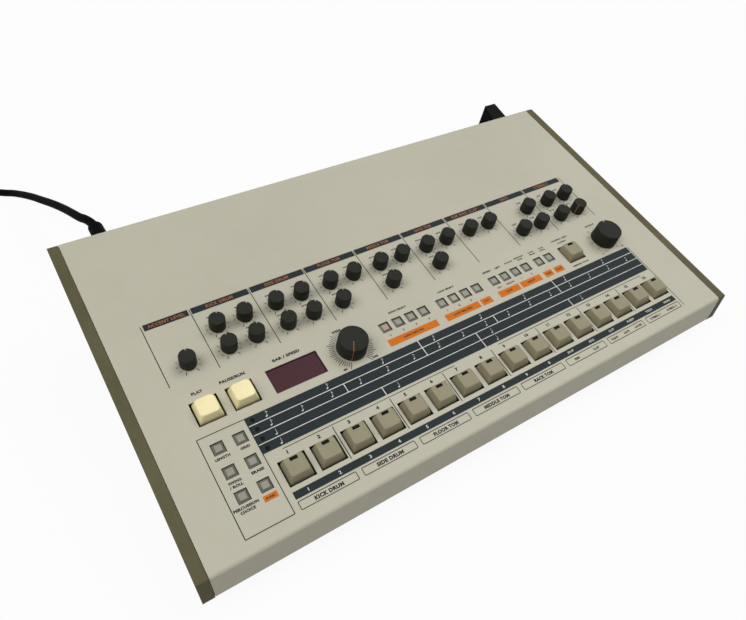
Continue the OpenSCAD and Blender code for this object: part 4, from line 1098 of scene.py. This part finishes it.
def make_socket_nuts():
    """A nickel nut and a plain bush round each quarter inch socket."""
    solid = Solid()
    hexagon, circle = (np.arange(n) * 2 * math.pi / n for n in (6, 36))
    outer = NUT_R * np.stack([np.cos(hexagon), np.sin(hexagon)], -1)
    inner = NUT_BORE_R * np.stack([np.cos(circle), np.sin(circle)], -1)
    top = capped(outer, inner, NUT_H)
    sides = skin([lifted(outer, NUT_SEAT), lifted(outer, NUT_H)], (False, False))
    bush = [(3.3, 2.0), (4.5, 2.0), (4.5, 3.9), (4.3, 4.1), (3.4, 4.1), (3.3, 2.0)]
    bush_verts, bush_faces = turned(np.array(bush) * MM, 36)
    bush_faces = bush_faces[:-2]
    for i in range(JACKS):
        x = JACK_X + i * JACK_PITCH
        solid.add(on_rear(top[0] * MM, x, SOCKET_Z), top[1])
        solid.add(on_rear(sides[0] * MM, x, SOCKET_Z), sides[1])
        solid.add(on_rear(bush_verts, x, SOCKET_Z), bush_faces)
    piece = solid.made("socket_nuts", [NICKEL], 40)
    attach(piece, CASE)


make_socket_nuts()


# ------------------------------------------------ floor and light

def make_floor():
    """A pale floor that looks white to the camera and keeps a soft shadow of the machine."""
    size, glow_share = 6.0, 0.94
    verts = [(-size, -size, 0), (size, -size, 0), (size, size, 0), (-size, size, 0)]
    floor = new_object("floor", verts, [(0, 1, 2, 3)], [])
    material = bpy.data.materials.new("floor_white")
    material.use_nodes = True
    tree = material.node_tree
    tree.nodes.clear()
    output = tree.nodes.new("ShaderNodeOutputMaterial")
    diffuse = tree.nodes.new("ShaderNodeBsdfDiffuse")
    diffuse.inputs["Color"].default_value = (0.66, 0.66, 0.65, 1)
    glow = tree.nodes.new("ShaderNodeEmission")
    glow.inputs["Color"].default_value = (1, 1, 1, 1)
    mix = tree.nodes.new("ShaderNodeMixShader")
    path = tree.nodes.new("ShaderNodeLightPath")
    share = tree.nodes.new("ShaderNodeMath")
    share.operation = "MULTIPLY"
    share.inputs[1].default_value = glow_share
    tree.links.new(path.outputs["Is Camera Ray"], share.inputs[0])
    tree.links.new(share.outputs[0], mix.inputs["Fac"])
    tree.links.new(diffuse.outputs[0], mix.inputs[1])
    tree.links.new(glow.outputs[0], mix.inputs[2])
    tree.links.new(mix.outputs[0], output.inputs["Surface"])
    floor.data.materials.append(material)


def make_sky_lamp(name, direction, spread, strength):
    """An even light from a wide round patch of sky in the direction. spread is its angle in degrees."""
    data = bpy.data.lights.new(name, "SUN")
    data.angle = math.radians(spread)
    data.energy = strength
    lamp = bpy.data.objects.new(name, data)
    lamp.location = Vector(direction).normalized() * 2
    lamp.rotation_euler = Vector(direction).to_track_quat("Z", "Y").to_euler()
    bpy.context.scene.collection.objects.link(lamp)


def make_world(strength):
    world = bpy.data.worlds.new("studio")
    world.use_nodes = True
    background = world.node_tree.nodes["Background"]
    background.inputs["Color"].default_value = (1, 1, 1, 1)
    background.inputs["Strength"].default_value = strength
    bpy.context.scene.world = world


make_floor()
make_sky_lamp("left_light", (-0.65, -0.05, 1.0), 40, 1.53)
make_sky_lamp("right_light", (0.6, -0.05, 1.0), 40, 1.39)
make_world(0.20)

bpy.context.scene.view_settings.view_transform = "Standard"
